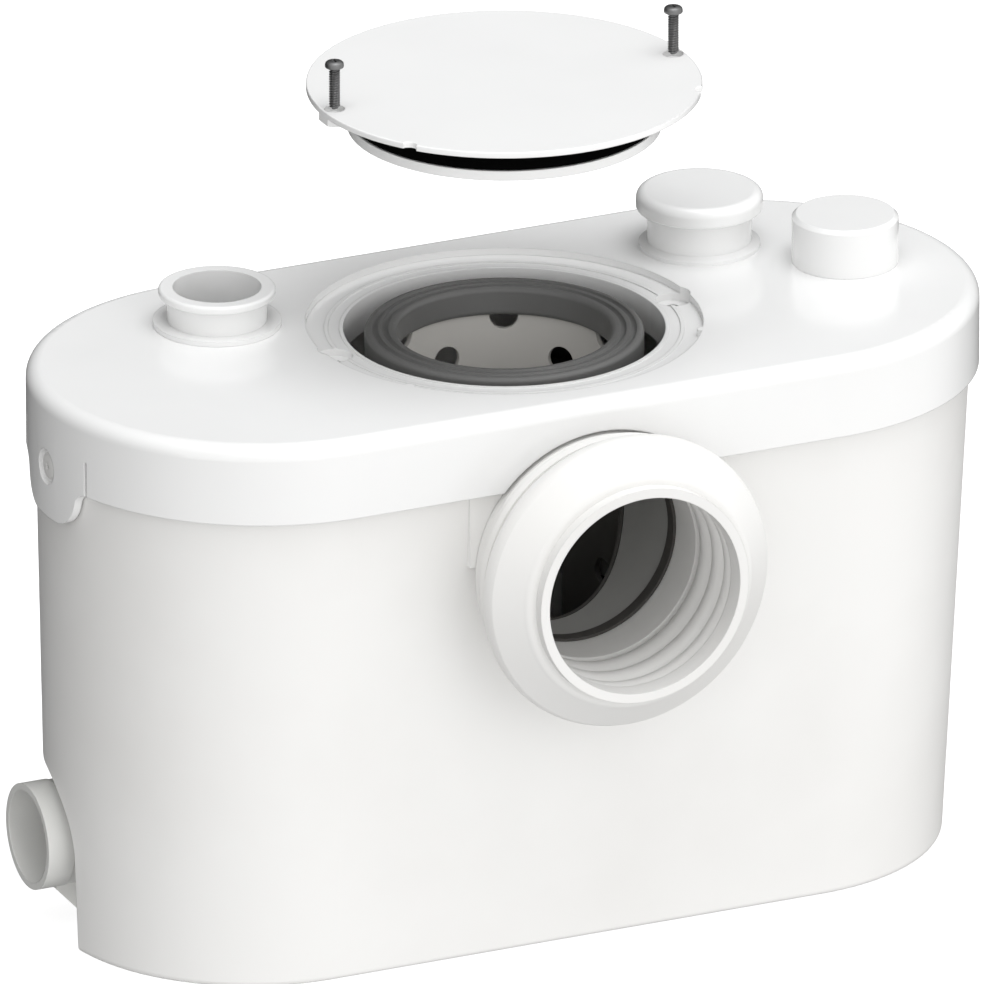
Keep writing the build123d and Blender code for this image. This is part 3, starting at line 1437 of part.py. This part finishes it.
with BuildPart() as pressure_plate:
    with BuildSketch(Plane.XY.offset(diaphragm_z)):
        with Locations((sensor_x, sensor_y)):
            Circle(plate_radius)
    extrude(amount=plate_thickness)
    with BuildSketch(Plane.XY.offset(plate_top_z)):
        with Locations((sensor_x, sensor_y)):
            Circle(plate_stem_radius)
    extrude(amount=plate_stem_height)
keep(pressure_plate, "pressure_plate")

with BuildPart() as switch_housing:
    with BuildSketch(Plane.XY.offset(diaphragm_z)):
        with Locations((sensor_x, sensor_y)):
            Circle(sensor_flange_radius)
            Circle(sensor_flange_radius - housing_wall, mode=Mode.SUBTRACT)
    extrude(amount=lid_under_z - diaphragm_z)
    with BuildSketch(Plane.XY.offset(lid_under_z - housing_wall)):
        with Locations((sensor_x, sensor_y)):
            Circle(sensor_flange_radius)
    extrude(amount=housing_wall)
    with BuildSketch(Plane.XY.offset(switch_z + switch_height)):
        with Locations((sensor_x, sensor_y)):
            Rectangle(switch_length, switch_width)
    extrude(amount=lid_under_z - switch_z - switch_height)
    for side in (-1, 1):
        lug_y = sensor_y + side * (lever_width / 2 + fit_gap + housing_wall / 2)
        with BuildSketch(Plane.XZ.offset(-lug_y)):
            with Locations((lever_pin_x, lever_z)):
                Circle(lever_eye_radius + housing_wall / 2)
            with Locations((lever_pin_x - lever_eye_radius, (lever_z + lid_under_z) / 2)):
                Rectangle(2 * lever_eye_radius, lid_under_z - lever_z)
        extrude(amount=housing_wall / 2, both=True)
        with BuildSketch(Plane.XZ.offset(-lug_y)):
            with Locations((lever_pin_x, lever_z)):
                Circle(lever_eye_radius / 2 + running_gap)
        extrude(amount=housing_wall, both=True, mode=Mode.SUBTRACT)
keep(switch_housing, "switch_housing")

with BuildPart() as microswitch:
    with BuildSketch(Plane.XY.offset(switch_z)):
        with Locations((sensor_x, sensor_y)):
            Rectangle(switch_length, switch_width)
    extrude(amount=switch_height)
    with BuildSketch(Plane.XY.offset(switch_z)):
        with Locations((sensor_x + switch_length / 4, sensor_y)):
            Circle(switch_button_radius)
    extrude(amount=-switch_rise / 4)
keep(microswitch, "microswitch")

with BuildPart() as switch_lever:
    with BuildSketch(Plane.XY.offset(lever_z)):
        with Locations((sensor_x + (lever_arm / 2 - lever_arm) / 2, sensor_y)):
            Rectangle(lever_arm * 3 / 2, lever_width)
    extrude(amount=lever_thickness)
    with BuildSketch(Plane.XZ.offset(-sensor_y)):
        with Locations((lever_pin_x, lever_z)):
            Circle(lever_eye_radius)
    extrude(amount=lever_width / 2, both=True)
    with BuildSketch(Plane.XZ.offset(-sensor_y)):
        with Locations((lever_pin_x, lever_z)):
            Circle(lever_eye_radius / 2)
    extrude(amount=lever_width / 2 + fit_gap + housing_wall, both=True)
keep(switch_lever, "switch_lever")

# Cable gland: in the rear wall, where the mains lead would enter
gland_wall_y = tank_width / 2
with BuildPart() as cable_gland:
    with BuildSketch(Plane.YZ.offset(gland_x)):
        with BuildLine():
            Polyline(
                (gland_wall_y - tank_wall - gland_tail, gland_z + gland_hole_radius),
                (gland_wall_y - tank_wall - gland_tail, gland_z + gland_radius),
                (gland_wall_y + fit_gap, gland_z + gland_radius),
                (gland_wall_y + fit_gap, gland_z + gland_flange_radius),
                (gland_wall_y + fit_gap + gland_flange, gland_z + gland_flange_radius),
                (gland_wall_y + fit_gap + gland_flange, gland_z + gland_nose_radius),
                (gland_wall_y + fit_gap + gland_flange + gland_nose_length, gland_z + gland_hole_radius * 2),
                (gland_wall_y + fit_gap + gland_flange + gland_nose_length, gland_z + gland_hole_radius),
                close=True,
            )
        make_face()
    revolve(axis=Axis((gland_x, 0, gland_z), (0, 1, 0)))
keep(cable_gland, "cable_gland")
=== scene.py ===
import math

import bmesh
import bpy
from mathutils import Matrix, Vector


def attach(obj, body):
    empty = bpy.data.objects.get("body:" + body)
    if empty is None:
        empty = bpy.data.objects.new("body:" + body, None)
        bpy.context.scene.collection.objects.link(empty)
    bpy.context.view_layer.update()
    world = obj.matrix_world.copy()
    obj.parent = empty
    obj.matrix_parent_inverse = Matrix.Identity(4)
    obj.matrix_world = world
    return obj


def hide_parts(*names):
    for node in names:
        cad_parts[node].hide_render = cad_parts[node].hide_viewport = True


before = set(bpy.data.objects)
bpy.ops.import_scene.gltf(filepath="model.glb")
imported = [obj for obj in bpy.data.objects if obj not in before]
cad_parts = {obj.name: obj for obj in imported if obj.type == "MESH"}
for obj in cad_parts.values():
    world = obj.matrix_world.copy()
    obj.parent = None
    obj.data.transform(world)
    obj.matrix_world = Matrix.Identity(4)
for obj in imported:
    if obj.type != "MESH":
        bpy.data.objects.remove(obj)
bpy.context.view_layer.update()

# Camera
# A long lens far off, at the photograph's angle: the front left of the pump, a little from
# above. The frame is square, so the lens follows from the picture's width of 984.
picture_width = 984
focal_pixels = 30000
camera_distance = 12.0135
camera_target = Vector((-0.00536, 0.0, 0.16635))
camera_back = Vector((-0.3814, -0.8459, 0.3728)).normalized()
camera_data = bpy.data.cameras.new("camera")
camera_data.sensor_width = 36.0
camera_data.lens = focal_pixels / picture_width * camera_data.sensor_width
camera_data.clip_start = 0.5
camera_data.clip_end = 60.0
camera = bpy.data.objects.new("camera", camera_data)
camera.location = camera_target + camera_back * camera_distance
camera.rotation_mode = "QUATERNION"
camera.rotation_quaternion = (-camera_back).to_track_quat("-Z", "Y")
bpy.context.scene.collection.objects.link(camera)
bpy.context.scene.camera = camera
bpy.context.scene.view_settings.view_transform = "Standard"

# Studio
# A wide pale floor under soft light: a large cool lamp overhead, a small warm one at the
# front, and a sky that is bright in front and dark behind and at the far left, where the
# photograph's pump is in shade.
floor_half = 9.0
floor_colour = (0.45, 0.45, 0.45, 1.0)
floor_glow = (1.0, 1.0, 1.0, 1.0)
floor_glow_strength = 0.85
lamp_target = Vector((0.0, 0.0, 0.15))
lamp_cool = (0.975, 0.985, 1.0)
lamp_warm = (1.0, 0.99, 0.975)
sky_front = (0.14, -0.94, 0.32)
sky_dark = (0.07, 0.07, 0.07, 1.0)
sky_bright = (1.0, 1.0, 1.0, 1.0)
sky_dark_end = 0.345
sky_bright_start = 0.61
sky_strength = 1.1
floor_mesh = bpy.data.meshes.new("floor")
floor_bm = bmesh.new()
bmesh.ops.create_grid(floor_bm, x_segments=2, y_segments=2, size=floor_half)
floor_bm.to_mesh(floor_mesh)
floor_bm.free()
floor = bpy.data.objects.new("floor", floor_mesh)
bpy.context.scene.collection.objects.link(floor)
floor_material = bpy.data.materials.new("pale_floor")
floor_material.use_nodes = True
floor_shader = floor_material.node_tree.nodes["Principled BSDF"]
floor_shader.inputs["Base Color"].default_value = floor_colour
floor_shader.inputs["Roughness"].default_value = 0.9
floor_shader.inputs["Specular IOR Level"].default_value = 0.1
floor_shader.inputs["Emission Color"].default_value = floor_glow
floor_shader.inputs["Emission Strength"].default_value = floor_glow_strength
floor.visible_diffuse = False
floor.visible_glossy = False
floor_mesh.materials.append(floor_material)


def soft_lamp(name, place, size, power, colour):
    """A square area lamp that faces the pump."""
    lamp_data = bpy.data.lights.new(name, "AREA")
    lamp_data.shape = "SQUARE"
    lamp_data.size = size
    lamp_data.energy = power
    lamp_data.color = colour
    lamp = bpy.data.objects.new(name, lamp_data)
    lamp.location = place
    lamp.rotation_mode = "QUATERNION"
    lamp.rotation_quaternion = (lamp_target - Vector(place)).to_track_quat("-Z", "Y")
    bpy.context.scene.collection.objects.link(lamp)


soft_lamp("overhead_lamp", place=(0.15, -0.3, 2.4), size=1.8, power=26.0, colour=lamp_cool)
soft_lamp("front_lamp", place=(0.3, -2.6, 1.1), size=1.2, power=4.5, colour=lamp_warm)

sky = bpy.data.worlds.new("studio_sky")
sky.use_nodes = True
bpy.context.scene.world = sky
sky_nodes = sky.node_tree.nodes
sky_links = sky.node_tree.links
sky_place = sky_nodes.new("ShaderNodeTexCoord")
sky_turn = sky_nodes.new("ShaderNodeVectorMath")
sky_turn.operation = "DOT_PRODUCT"
sky_turn.inputs[1].default_value = sky_front
sky_ramp = sky_nodes.new("ShaderNodeValToRGB")
sky_ramp.color_ramp.elements[0].position = sky_dark_end
sky_ramp.color_ramp.elements[0].color = sky_dark
sky_ramp.color_ramp.elements[1].position = sky_bright_start
sky_ramp.color_ramp.elements[1].color = sky_bright
sky_range = sky_nodes.new("ShaderNodeMapRange")
sky_range.inputs["From Min"].default_value = -1.0
sky_range.inputs["From Max"].default_value = 1.0
sky_nodes["Background"].inputs["Strength"].default_value = sky_strength
sky_links.new(sky_place.outputs["Generated"], sky_turn.inputs[0])
sky_links.new(sky_turn.outputs["Value"], sky_range.inputs["Value"])
sky_links.new(sky_range.outputs["Result"], sky_ramp.inputs["Fac"])
sky_links.new(sky_ramp.outputs["Color"], sky_nodes["Background"].inputs["Color"])

# Tank
# A deep injection moulding in white plastic, satin from the mould, with a flat foot and
# drafted walls. The other moulded pieces share its skin: faint flow marks in the tone, an
# orange-peel surface under a millimetre across, and softly rounded edges.
tank_white = (0.85, 0.845, 0.83, 1.0)
tank_flow = (0.805, 0.797, 0.78, 1.0)
flow_scale = 9.0
flow_detail = 4.0
flow_low = 0.42
flow_high = 0.72
smear_scale = 60.0
smear_detail = 6.0
peel_detail = 2.0
soft_edge_radius = 0.0007
soft_edge_samples = 6


def moulded_skin_group():
    """Tone, roughness and relief of a moulded surface, with rounded edges."""
    group = bpy.data.node_groups.new("moulded_skin", "ShaderNodeTree")
    for name, direction, kind in (
        ("Colour", "INPUT", "NodeSocketColor"),
        ("Flow Colour", "INPUT", "NodeSocketColor"),
        ("Peel Scale", "INPUT", "NodeSocketFloat"),
        ("Peel Height", "INPUT", "NodeSocketFloat"),
        ("Gloss", "INPUT", "NodeSocketFloat"),
        ("Gloss Spread", "INPUT", "NodeSocketFloat"),
        ("Colour", "OUTPUT", "NodeSocketColor"),
        ("Roughness", "OUTPUT", "NodeSocketFloat"),
        ("Normal", "OUTPUT", "NodeSocketVector"),
    ):
        group.interface.new_socket(name=name, in_out=direction, socket_type=kind)
    nodes = group.nodes
    links = group.links
    given = nodes.new("NodeGroupInput")
    result = nodes.new("NodeGroupOutput")
    place = nodes.new("ShaderNodeTexCoord")
    flow = nodes.new("ShaderNodeTexNoise")
    flow.inputs["Scale"].default_value = flow_scale
    flow.inputs["Detail"].default_value = flow_detail
    flow_mask = nodes.new("ShaderNodeMapRange")
    flow_mask.inputs["From Min"].default_value = flow_low
    flow_mask.inputs["From Max"].default_value = flow_high
    tone = nodes.new("ShaderNodeMix")
    tone.data_type = "RGBA"
    links.new(place.outputs["Object"], flow.inputs["Vector"])
    links.new(flow.outputs["Fac"], flow_mask.inputs["Value"])
    links.new(flow_mask.outputs["Result"], tone.inputs["Factor"])
    links.new(given.outputs["Colour"], tone.inputs["A"])
    links.new(given.outputs["Flow Colour"], tone.inputs["B"])
    links.new(tone.outputs["Result"], result.inputs["Colour"])
    smear = nodes.new("ShaderNodeTexNoise")
    smear.inputs["Scale"].default_value = smear_scale
    smear.inputs["Detail"].default_value = smear_detail
    spread = nodes.new("ShaderNodeMath")
    spread.operation = "MULTIPLY_ADD"
    links.new(place.outputs["Object"], smear.inputs["Vector"])
    links.new(smear.outputs["Fac"], spread.inputs[0])
    links.new(given.outputs["Gloss Spread"], spread.inputs[1])
    links.new(given.outputs["Gloss"], spread.inputs[2])
    links.new(spread.outputs["Value"], result.inputs["Roughness"])
    peel = nodes.new("ShaderNodeTexNoise")
    peel.inputs["Detail"].default_value = peel_detail
    edge = nodes.new("ShaderNodeBevel")
    edge.samples = soft_edge_samples
    edge.inputs["Radius"].default_value = soft_edge_radius
    relief = nodes.new("ShaderNodeBump")
    relief.inputs["Strength"].default_value = 1.0
    links.new(place.outputs["Object"], peel.inputs["Vector"])
    links.new(given.outputs["Peel Scale"], peel.inputs["Scale"])
    links.new(peel.outputs["Fac"], relief.inputs["Height"])
    links.new(given.outputs["Peel Height"], relief.inputs["Distance"])
    links.new(edge.outputs["Normal"], relief.inputs["Normal"])
    links.new(relief.outputs["Normal"], result.inputs["Normal"])
    return group


moulded_skin = moulded_skin_group()


def moulded_material(name, colour, flow, peel_scale, peel_height, gloss, spread, specular=0.5):
    """A moulded plastic or rubber finish: the skin group into a Principled shader."""
    material = bpy.data.materials.new(name)
    material.use_nodes = True
    nodes = material.node_tree.nodes
    links = material.node_tree.links
    skin = nodes.new("ShaderNodeGroup")
    skin.node_tree = moulded_skin
    skin.inputs["Colour"].default_value = colour
    skin.inputs["Flow Colour"].default_value = flow
    skin.inputs["Peel Scale"].default_value = peel_scale
    skin.inputs["Peel Height"].default_value = peel_height
    skin.inputs["Gloss"].default_value = gloss
    skin.inputs["Gloss Spread"].default_value = spread
    shader = nodes["Principled BSDF"]
    shader.inputs["Specular IOR Level"].default_value = specular
    links.new(skin.outputs["Colour"], shader.inputs["Base Color"])
    links.new(skin.outputs["Roughness"], shader.inputs["Roughness"])
    links.new(skin.outputs["Normal"], shader.inputs["Normal"])
    return material


def dress(node, material):
    """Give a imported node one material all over."""
    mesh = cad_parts[node].data
    mesh.materials.clear()
    mesh.materials.append(material)


tank_plastic = moulded_material(
    "tank_plastic", tank_white, tank_flow,
    peel_scale=1500.0, peel_height=0.000012, gloss=0.36, spread=0.08
)
dress("tank", tank_plastic)

# Lid
# A shallow moulding with a polished top that mirrors the fittings standing on it. The skirt
# and the tabs are part of the same shot. The vent's neck rises from it.
lid_white = (0.845, 0.845, 0.84, 1.0)
lid_flow = (0.815, 0.815, 0.81, 1.0)
lid_plastic = moulded_material(
    "lid_plastic", lid_white, lid_flow,
    peel_scale=900.0, peel_height=0.000004, gloss=0.14, spread=0.06
)
dress("lid", lid_plastic)

# Tab screws
# Two white nylon screws, one in each end tab, their pan heads below the surface of the tab.
# Like the cover's screws, each has a helical thread, a blunt point and a cross recess.
tab_head_radius = 0.0056
tab_head_height = 0.0017
tab_screw_length = 0.0127
tab_thread_radius = 0.002
tab_core_radius = 0.0016
tab_thread_pitch = 0.0013
tab_recess_depth = 0.0009
tab_head_x = 0.1993
tab_hole_z = 0.2094
recess_length = 0.0046
recess_width = 0.0011
recess_floor_share = 0.55
screw_sides = 40
levels_per_turn = 8
tip_length_share = 0.5
tip_width_share = 0.5
ridge_steepness = 1.3
crease_angle = math.radians(38)
pan_profile = ((0.94, 0.0), (1.0, 0.1), (1.0, 0.42), (0.95, 0.66), (0.82, 0.84), (0.55, 0.96), (0.25, 1.0))


def cross_cutter(top, depth):
    """A tapered cross that cuts the recess of a screw's head."""
    cutter_bm = bmesh.new()
    for turn in (0.0, math.pi / 2):
        box = bmesh.ops.create_cube(cutter_bm, size=1.0)["verts"]
        for vert in box:
            shrink = 1.0 if vert.co.z > 0 else recess_floor_share
            across = vert.co.x * recess_length * shrink
            along = vert.co.y * recess_width * shrink
            height = top + depth if vert.co.z > 0 else top - depth
            vert.co = Matrix.Rotation(turn, 3, "Z") @ Vector((across, along, height))
    cutter_mesh = bpy.data.meshes.new("cross_cutter")
    cutter_bm.to_mesh(cutter_mesh)
    cutter_bm.free()
    return cutter_mesh


def pan_screw(name, length, head, head_height, thread, core, pitch, recess_depth):
    """A pan-head screw along +Z, its point at the origin, with a helical thread."""
    shank = length - head_height
    tip = tip_length_share * thread
    rings = []
    levels = int(shank / pitch * levels_per_turn)
    screw_bm = bmesh.new()
    for level in range(levels + 1):
        height = shank * level / levels
        taper = min(1.0, tip_width_share + (1.0 - tip_width_share) * height / tip)
        ring = []
        for side in range(screw_sides):
            turn = side / screw_sides
            phase = (height / pitch - turn) % 1.0
            ridge = max(0.0, 1.0 - ridge_steepness * abs(2.0 * phase - 1.0))
            radius = taper * (core + (thread - core) * ridge)
            angle = 2.0 * math.pi * turn
            ring.append(screw_bm.verts.new((radius * math.cos(angle), radius * math.sin(angle), height)))
        rings.append(ring)
    for across, up in pan_profile:
        ring = []
        for side in range(screw_sides):
            angle = 2.0 * math.pi * side / screw_sides
            radius = across * head
            height = shank + up * head_height
            ring.append(screw_bm.verts.new((radius * math.cos(angle), radius * math.sin(angle), height)))
        rings.append(ring)
    for low, high in zip(rings, rings[1:]):
        for side in range(screw_sides):
            after = (side + 1) % screw_sides
            screw_bm.faces.new((low[side], low[after], high[after], high[side]))
    screw_bm.faces.new(list(reversed(rings[0])))
    screw_bm.faces.new(rings[-1])
    bmesh.ops.recalc_face_normals(screw_bm, faces=screw_bm.faces)
    screw_mesh = bpy.data.meshes.new(name)
    screw_bm.to_mesh(screw_mesh)
    screw_bm.free()
    screw = bpy.data.objects.new(name, screw_mesh)
    bpy.context.scene.collection.objects.link(screw)
    cutter = bpy.data.objects.new("cross_cutter", cross_cutter(length, recess_depth))
    bpy.context.scene.collection.objects.link(cutter)
    cut = screw.modifiers.new("cross", "BOOLEAN")
    cut.object = cutter
    cut.solver = "EXACT"
    cut.use_self = True
    solved = screw.evaluated_get(bpy.context.evaluated_depsgraph_get())
    screw.data = bpy.data.meshes.new_from_object(solved)
    screw.modifiers.clear()
    bpy.data.objects.remove(cutter)
    screw.data.shade_smooth()
    screw.data.set_sharp_from_angle(angle=crease_angle)
    return screw


nylon_white = (0.72, 0.715, 0.7, 1.0)
nylon_flow = (0.66, 0.655, 0.64, 1.0)
white_nylon = moulded_material(
    "white_nylon", nylon_white, nylon_flow,
    peel_scale=2500.0, peel_height=0.000015, gloss=0.42, spread=0.1
)
for end, end_name in ((-1, "left"), (1, "right")):
    tab_screw = pan_screw(
        f"tab_screw_{end_name}", tab_screw_length, tab_head_radius, tab_head_height,
        tab_thread_radius, tab_core_radius, tab_thread_pitch, tab_recess_depth
    )
    tab_screw.rotation_mode = "XYZ"
    tab_screw.rotation_euler = (0.0, end * math.pi / 2, 0.0)
    tab_screw.location = (end * (tab_head_x - tab_screw_length), 0.0, tab_hole_z)
    tab_screw.data.materials.clear()
    tab_screw.data.materials.append(white_nylon)
    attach(tab_screw, "root")
    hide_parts("tab_screws")

# Access cover
# A thin disc with a hollow skirt below, the same polished white as the lid. It is shown
# lifted off its seat.
dress("access_cover", lid_plastic)

# Cover O-ring
# Two turns of jet black rubber in the groove of the cover's skirt, matt all over, which seal
# the cover in its opening.
oring_rubber = moulded_material(
    "oring_rubber", colour=(0.002, 0.002, 0.002, 1.0), flow=(0.003, 0.003, 0.003, 1.0),
    peel_scale=2200.0, peel_height=0.00003, gloss=0.6, spread=0.1, specular=0.0
)
dress("cover_oring", oring_rubber)

# Hidden seals and flaps
# The lid's and the shaft's seals, the switch's diaphragm and the two flaps are black rubber
# with a faint bloom.
black_rubber = moulded_material(
    "black_rubber", colour=(0.012, 0.012, 0.012, 1.0), flow=(0.02, 0.02, 0.02, 1.0),
    peel_scale=2200.0, peel_height=0.00003, gloss=0.5, spread=0.2, specular=0.35
)
for node in ("lid_seal", "shaft_seal", "diaphragm", "side_flap", "check_valve_flap"):
    dress(node, black_rubber)

# Basket collar
# A dark grey rubber ring with two beads on top, moulded with a soft satin skin, which the
# cover's underside presses on.
collar_rubber = moulded_material(
    "collar_rubber", colour=(0.15, 0.15, 0.147, 1.0), flow=(0.12, 0.12, 0.117, 1.0),
    peel_scale=1800.0, peel_height=0.00002, gloss=0.42, spread=0.12
)
dress("basket_collar", collar_rubber)

# Basket
# A cup of light warm grey plastic with staggered holes, eggshell finish, that keeps solids
# near the cutter. Its colour is painted dark from a set height down, with a ragged edge: painted shade for
# the dim depths of the tank.
basket_light = (0.66, 0.645, 0.615, 1.0)
basket_flow = (0.6, 0.585, 0.555, 1.0)
# Painted shade: the dark colour given to the lower basket stands in for the shade deep inside the tank.
basket_painted_shade = (0.1, 0.097, 0.09, 1.0)
painted_shade_low_z = 0.168
painted_shade_high_z = 0.196
painted_shade_edge_scale = 55.0
painted_shade_edge_detail = 5.0
painted_shade_raggedness = 0.012
basket_plastic = moulded_material(
    "basket_plastic", basket_light, basket_flow,
    peel_scale=1200.0, peel_height=0.00002, gloss=0.45, spread=0.1
)
basket_nodes = basket_plastic.node_tree.nodes
basket_links = basket_plastic.node_tree.links
basket_place = basket_nodes.new("ShaderNodeTexCoord")
basket_axes = basket_nodes.new("ShaderNodeSeparateXYZ")
painted_shade_ragged = basket_nodes.new("ShaderNodeTexNoise")
painted_shade_ragged.inputs["Scale"].default_value = painted_shade_edge_scale
painted_shade_ragged.inputs["Detail"].default_value = painted_shade_edge_detail
painted_shade_level = basket_nodes.new("ShaderNodeMath")
painted_shade_level.operation = "MULTIPLY_ADD"
painted_shade_level.inputs[1].default_value = painted_shade_raggedness
painted_shade_mask = basket_nodes.new("ShaderNodeMapRange")
painted_shade_mask.interpolation_type = "SMOOTHSTEP"
painted_shade_mask.inputs["From Min"].default_value = painted_shade_low_z
painted_shade_mask.inputs["From Max"].default_value = painted_shade_high_z
# Painted shade: blends the basket's colour towards dark grey below the set height.
painted_shade_mix = basket_nodes.new("ShaderNodeMix")
painted_shade_mix.data_type = "RGBA"
painted_shade_mix.inputs["A"].default_value = basket_painted_shade
basket_skin = next(node for node in basket_nodes if node.bl_idname == "ShaderNodeGroup")
basket_links.new(basket_place.outputs["Object"], basket_axes.inputs["Vector"])
basket_links.new(basket_place.outputs["Object"], painted_shade_ragged.inputs["Vector"])
basket_links.new(painted_shade_ragged.outputs["Fac"], painted_shade_level.inputs[0])
basket_links.new(basket_axes.outputs["Z"], painted_shade_level.inputs[2])
basket_links.new(painted_shade_level.outputs["Value"], painted_shade_mask.inputs["Value"])
basket_links.new(painted_shade_mask.outputs["Result"], painted_shade_mix.inputs["Factor"])
basket_links.new(basket_skin.outputs["Colour"], painted_shade_mix.inputs["B"])
basket_links.new(painted_shade_mix.outputs["Result"], basket_nodes["Principled BSDF"].inputs["Base Color"])
dress("basket", basket_plastic)

# WC inlet gasket
# A thick white rubber sleeve with three ribs at the back, a domed front and folds inside,
# which stretches over the spigot of the pan.
white_rubber = moulded_material(
    "white_rubber", colour=(0.8, 0.795, 0.78, 1.0), flow=(0.76, 0.753, 0.735, 1.0),
    peel_scale=2000.0, peel_height=0.000012, gloss=0.4, spread=0.08
)
dress("wc_inlet_gasket", white_rubber)

# WC inlet seal
# A dark grey rubber ring between the gasket and the pipe, seen deep inside the inlet.
seal_rubber = moulded_material(
    "seal_rubber", colour=(0.07, 0.066, 0.062, 1.0), flow=(0.05, 0.047, 0.044, 1.0),
    peel_scale=2000.0, peel_height=0.00003, gloss=0.5, spread=0.15, specular=0.35
)
dress("wc_inlet_seal", seal_rubber)

# Grey pipework
# The WC inlet pipe, the riser, the check valve and the other wet pieces behind the wall are
# moulded in a mid grey plastic.
grey_plastic = moulded_material(
    "grey_plastic", colour=(0.43, 0.43, 0.42, 1.0), flow=(0.38, 0.38, 0.37, 1.0),
    peel_scale=1300.0, peel_height=0.000015, gloss=0.38, spread=0.1
)
for node in ("wc_inlet_pipe", "riser_pipe", "check_valve_body", "discharge_spigot", "pressure_tube"):
    dress(node, grey_plastic)

# Low side inlet, nozzle and caps
# White fittings: the stub is satin like the tank, the nozzle and the caps are polished.
stub_plastic = moulded_material(
    "stub_plastic", colour=(0.76, 0.76, 0.74, 1.0), flow=(0.71, 0.71, 0.685, 1.0),
    peel_scale=1500.0, peel_height=0.00001, gloss=0.3, spread=0.08
)
dress("side_inlet", stub_plastic)
for node in ("top_inlet_nozzle", "vent_cap", "discharge_cap"):
    dress(node, lid_plastic)

# Cover screws
# Dark coated steel pan-head screws with a fine helical thread and a cross recess, shown
# standing above the holes at the left and the right of the lifted cover.
cover_screw_length = 0.0205
cover_head_radius = 0.0038
cover_head_height = 0.0028
cover_thread_radius = 0.0023
cover_core_radius = 0.0016
cover_thread_pitch = 0.00105
cover_recess_depth = 0.0014
cover_screw_x = 0.074
cover_screw_z = 0.3419
scratch_stretch = 20
scratch_detail = 5.0
scratch_roughness = 0.25
scratch_tone = 0.7
scratch_depth = 0.00001


def steel_material(name, colour, scratch_scale, gloss):
    """Turned or rolled steel: fine scratches across the surface in tone and relief."""
    material = bpy.data.materials.new(name)
    material.use_nodes = True
    nodes = material.node_tree.nodes
    links = material.node_tree.links
    place = nodes.new("ShaderNodeTexCoord")
    stretch = nodes.new("ShaderNodeMapping")
    along = scratch_scale / scratch_stretch
    stretch.inputs["Scale"].default_value = (scratch_scale, along, along)
    scratches = nodes.new("ShaderNodeTexNoise")
    scratches.inputs["Scale"].default_value = 1.0
    scratches.inputs["Detail"].default_value = scratch_detail
    rough = nodes.new("ShaderNodeMapRange")
    rough.inputs["To Min"].default_value = gloss
    rough.inputs["To Max"].default_value = gloss + scratch_roughness
    tone = nodes.new("ShaderNodeMix")
    tone.data_type = "RGBA"
    tone.inputs["A"].default_value = (*colour, 1.0)
    tone.inputs["B"].default_value = (*[channel * scratch_tone for channel in colour], 1.0)
    relief = nodes.new("ShaderNodeBump")
    relief.inputs["Distance"].default_value = scratch_depth
    shader = nodes["Principled BSDF"]
    shader.inputs["Metallic"].default_value = 1.0
    links.new(place.outputs["Object"], stretch.inputs["Vector"])
    links.new(stretch.outputs["Vector"], scratches.inputs["Vector"])
    links.new(scratches.outputs["Fac"], rough.inputs["Value"])
    links.new(rough.outputs["Result"], shader.inputs["Roughness"])
    links.new(scratches.outputs["Fac"], tone.inputs["Factor"])
    links.new(tone.outputs["Result"], shader.inputs["Base Color"])
    links.new(scratches.outputs["Fac"], relief.inputs["Height"])
    links.new(relief.outputs["Normal"], shader.inputs["Normal"])
    return material


dark_screw_steel = steel_material("dark_screw_steel", (0.24, 0.24, 0.24), scratch_scale=900.0, gloss=0.36)
for end, end_name in ((-1, "left"), (1, "right")):
    cover_screw = pan_screw(
        f"threaded_screw_{end_name}", cover_screw_length, cover_head_radius, cover_head_height,
        cover_thread_radius, cover_core_radius, cover_thread_pitch, cover_recess_depth
    )
    cover_screw.location = (end * cover_screw_x, 0.0, cover_screw_z)
    cover_screw.data.materials.clear()
    cover_screw.data.materials.append(dark_screw_steel)
    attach(cover_screw, f"{end_name}_cover_screw")
    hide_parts(f"cover_screw_{end_name}")

# Motor, pump and switch gear
# The inside of the pump: steel shaft and blade, aluminium housings, copper end turns and
# black moulded pump parts.
stainless = steel_material("stainless", (0.55, 0.55, 0.54), scratch_scale=700.0, gloss=0.22)
for node in (
    "motor_shaft", "cutter_blade", "blade_nut", "bearings", "side_flap_pin", "check_valve_pin", "switch_lever"
):
    dress(node, stainless)
laminations = steel_material("laminations", (0.25, 0.25, 0.26), scratch_scale=2200.0, gloss=0.4)
for node in ("stator", "rotor_core"):
    dress(node, laminations)
aluminium = steel_material("aluminium", (0.5, 0.51, 0.52), scratch_scale=300.0, gloss=0.38)
for node in ("motor_housing", "motor_end_cover", "capacitor"):
    dress(node, aluminium)
copper = steel_material("copper", (0.62, 0.26, 0.1), scratch_scale=1600.0, gloss=0.35)
dress("windings", copper)
black_plastic = moulded_material(
    "black_plastic", colour=(0.02, 0.02, 0.02, 1.0), flow=(0.028, 0.028, 0.028, 1.0),
    peel_scale=1100.0, peel_height=0.00003, gloss=0.45, spread=0.15
)
for node in ("pump_casing", "pump_cover", "impeller", "switch_housing", "cable_gland"):
    dress(node, black_plastic)
switch_plastic = moulded_material(
    "switch_plastic", colour=(0.05, 0.05, 0.055, 1.0), flow=(0.06, 0.06, 0.065, 1.0),
    peel_scale=1500.0, peel_height=0.00002, gloss=0.4, spread=0.1
)
for node in ("microswitch", "pressure_plate"):
    dress(node, switch_plastic)
filter_foam = moulded_material(
    "filter_foam", colour=(0.015, 0.015, 0.015, 1.0), flow=(0.03, 0.03, 0.03, 1.0),
    peel_scale=700.0, peel_height=0.0004, gloss=0.9, spread=0.1, specular=0.1
)
dress("carbon_filter", filter_foam)
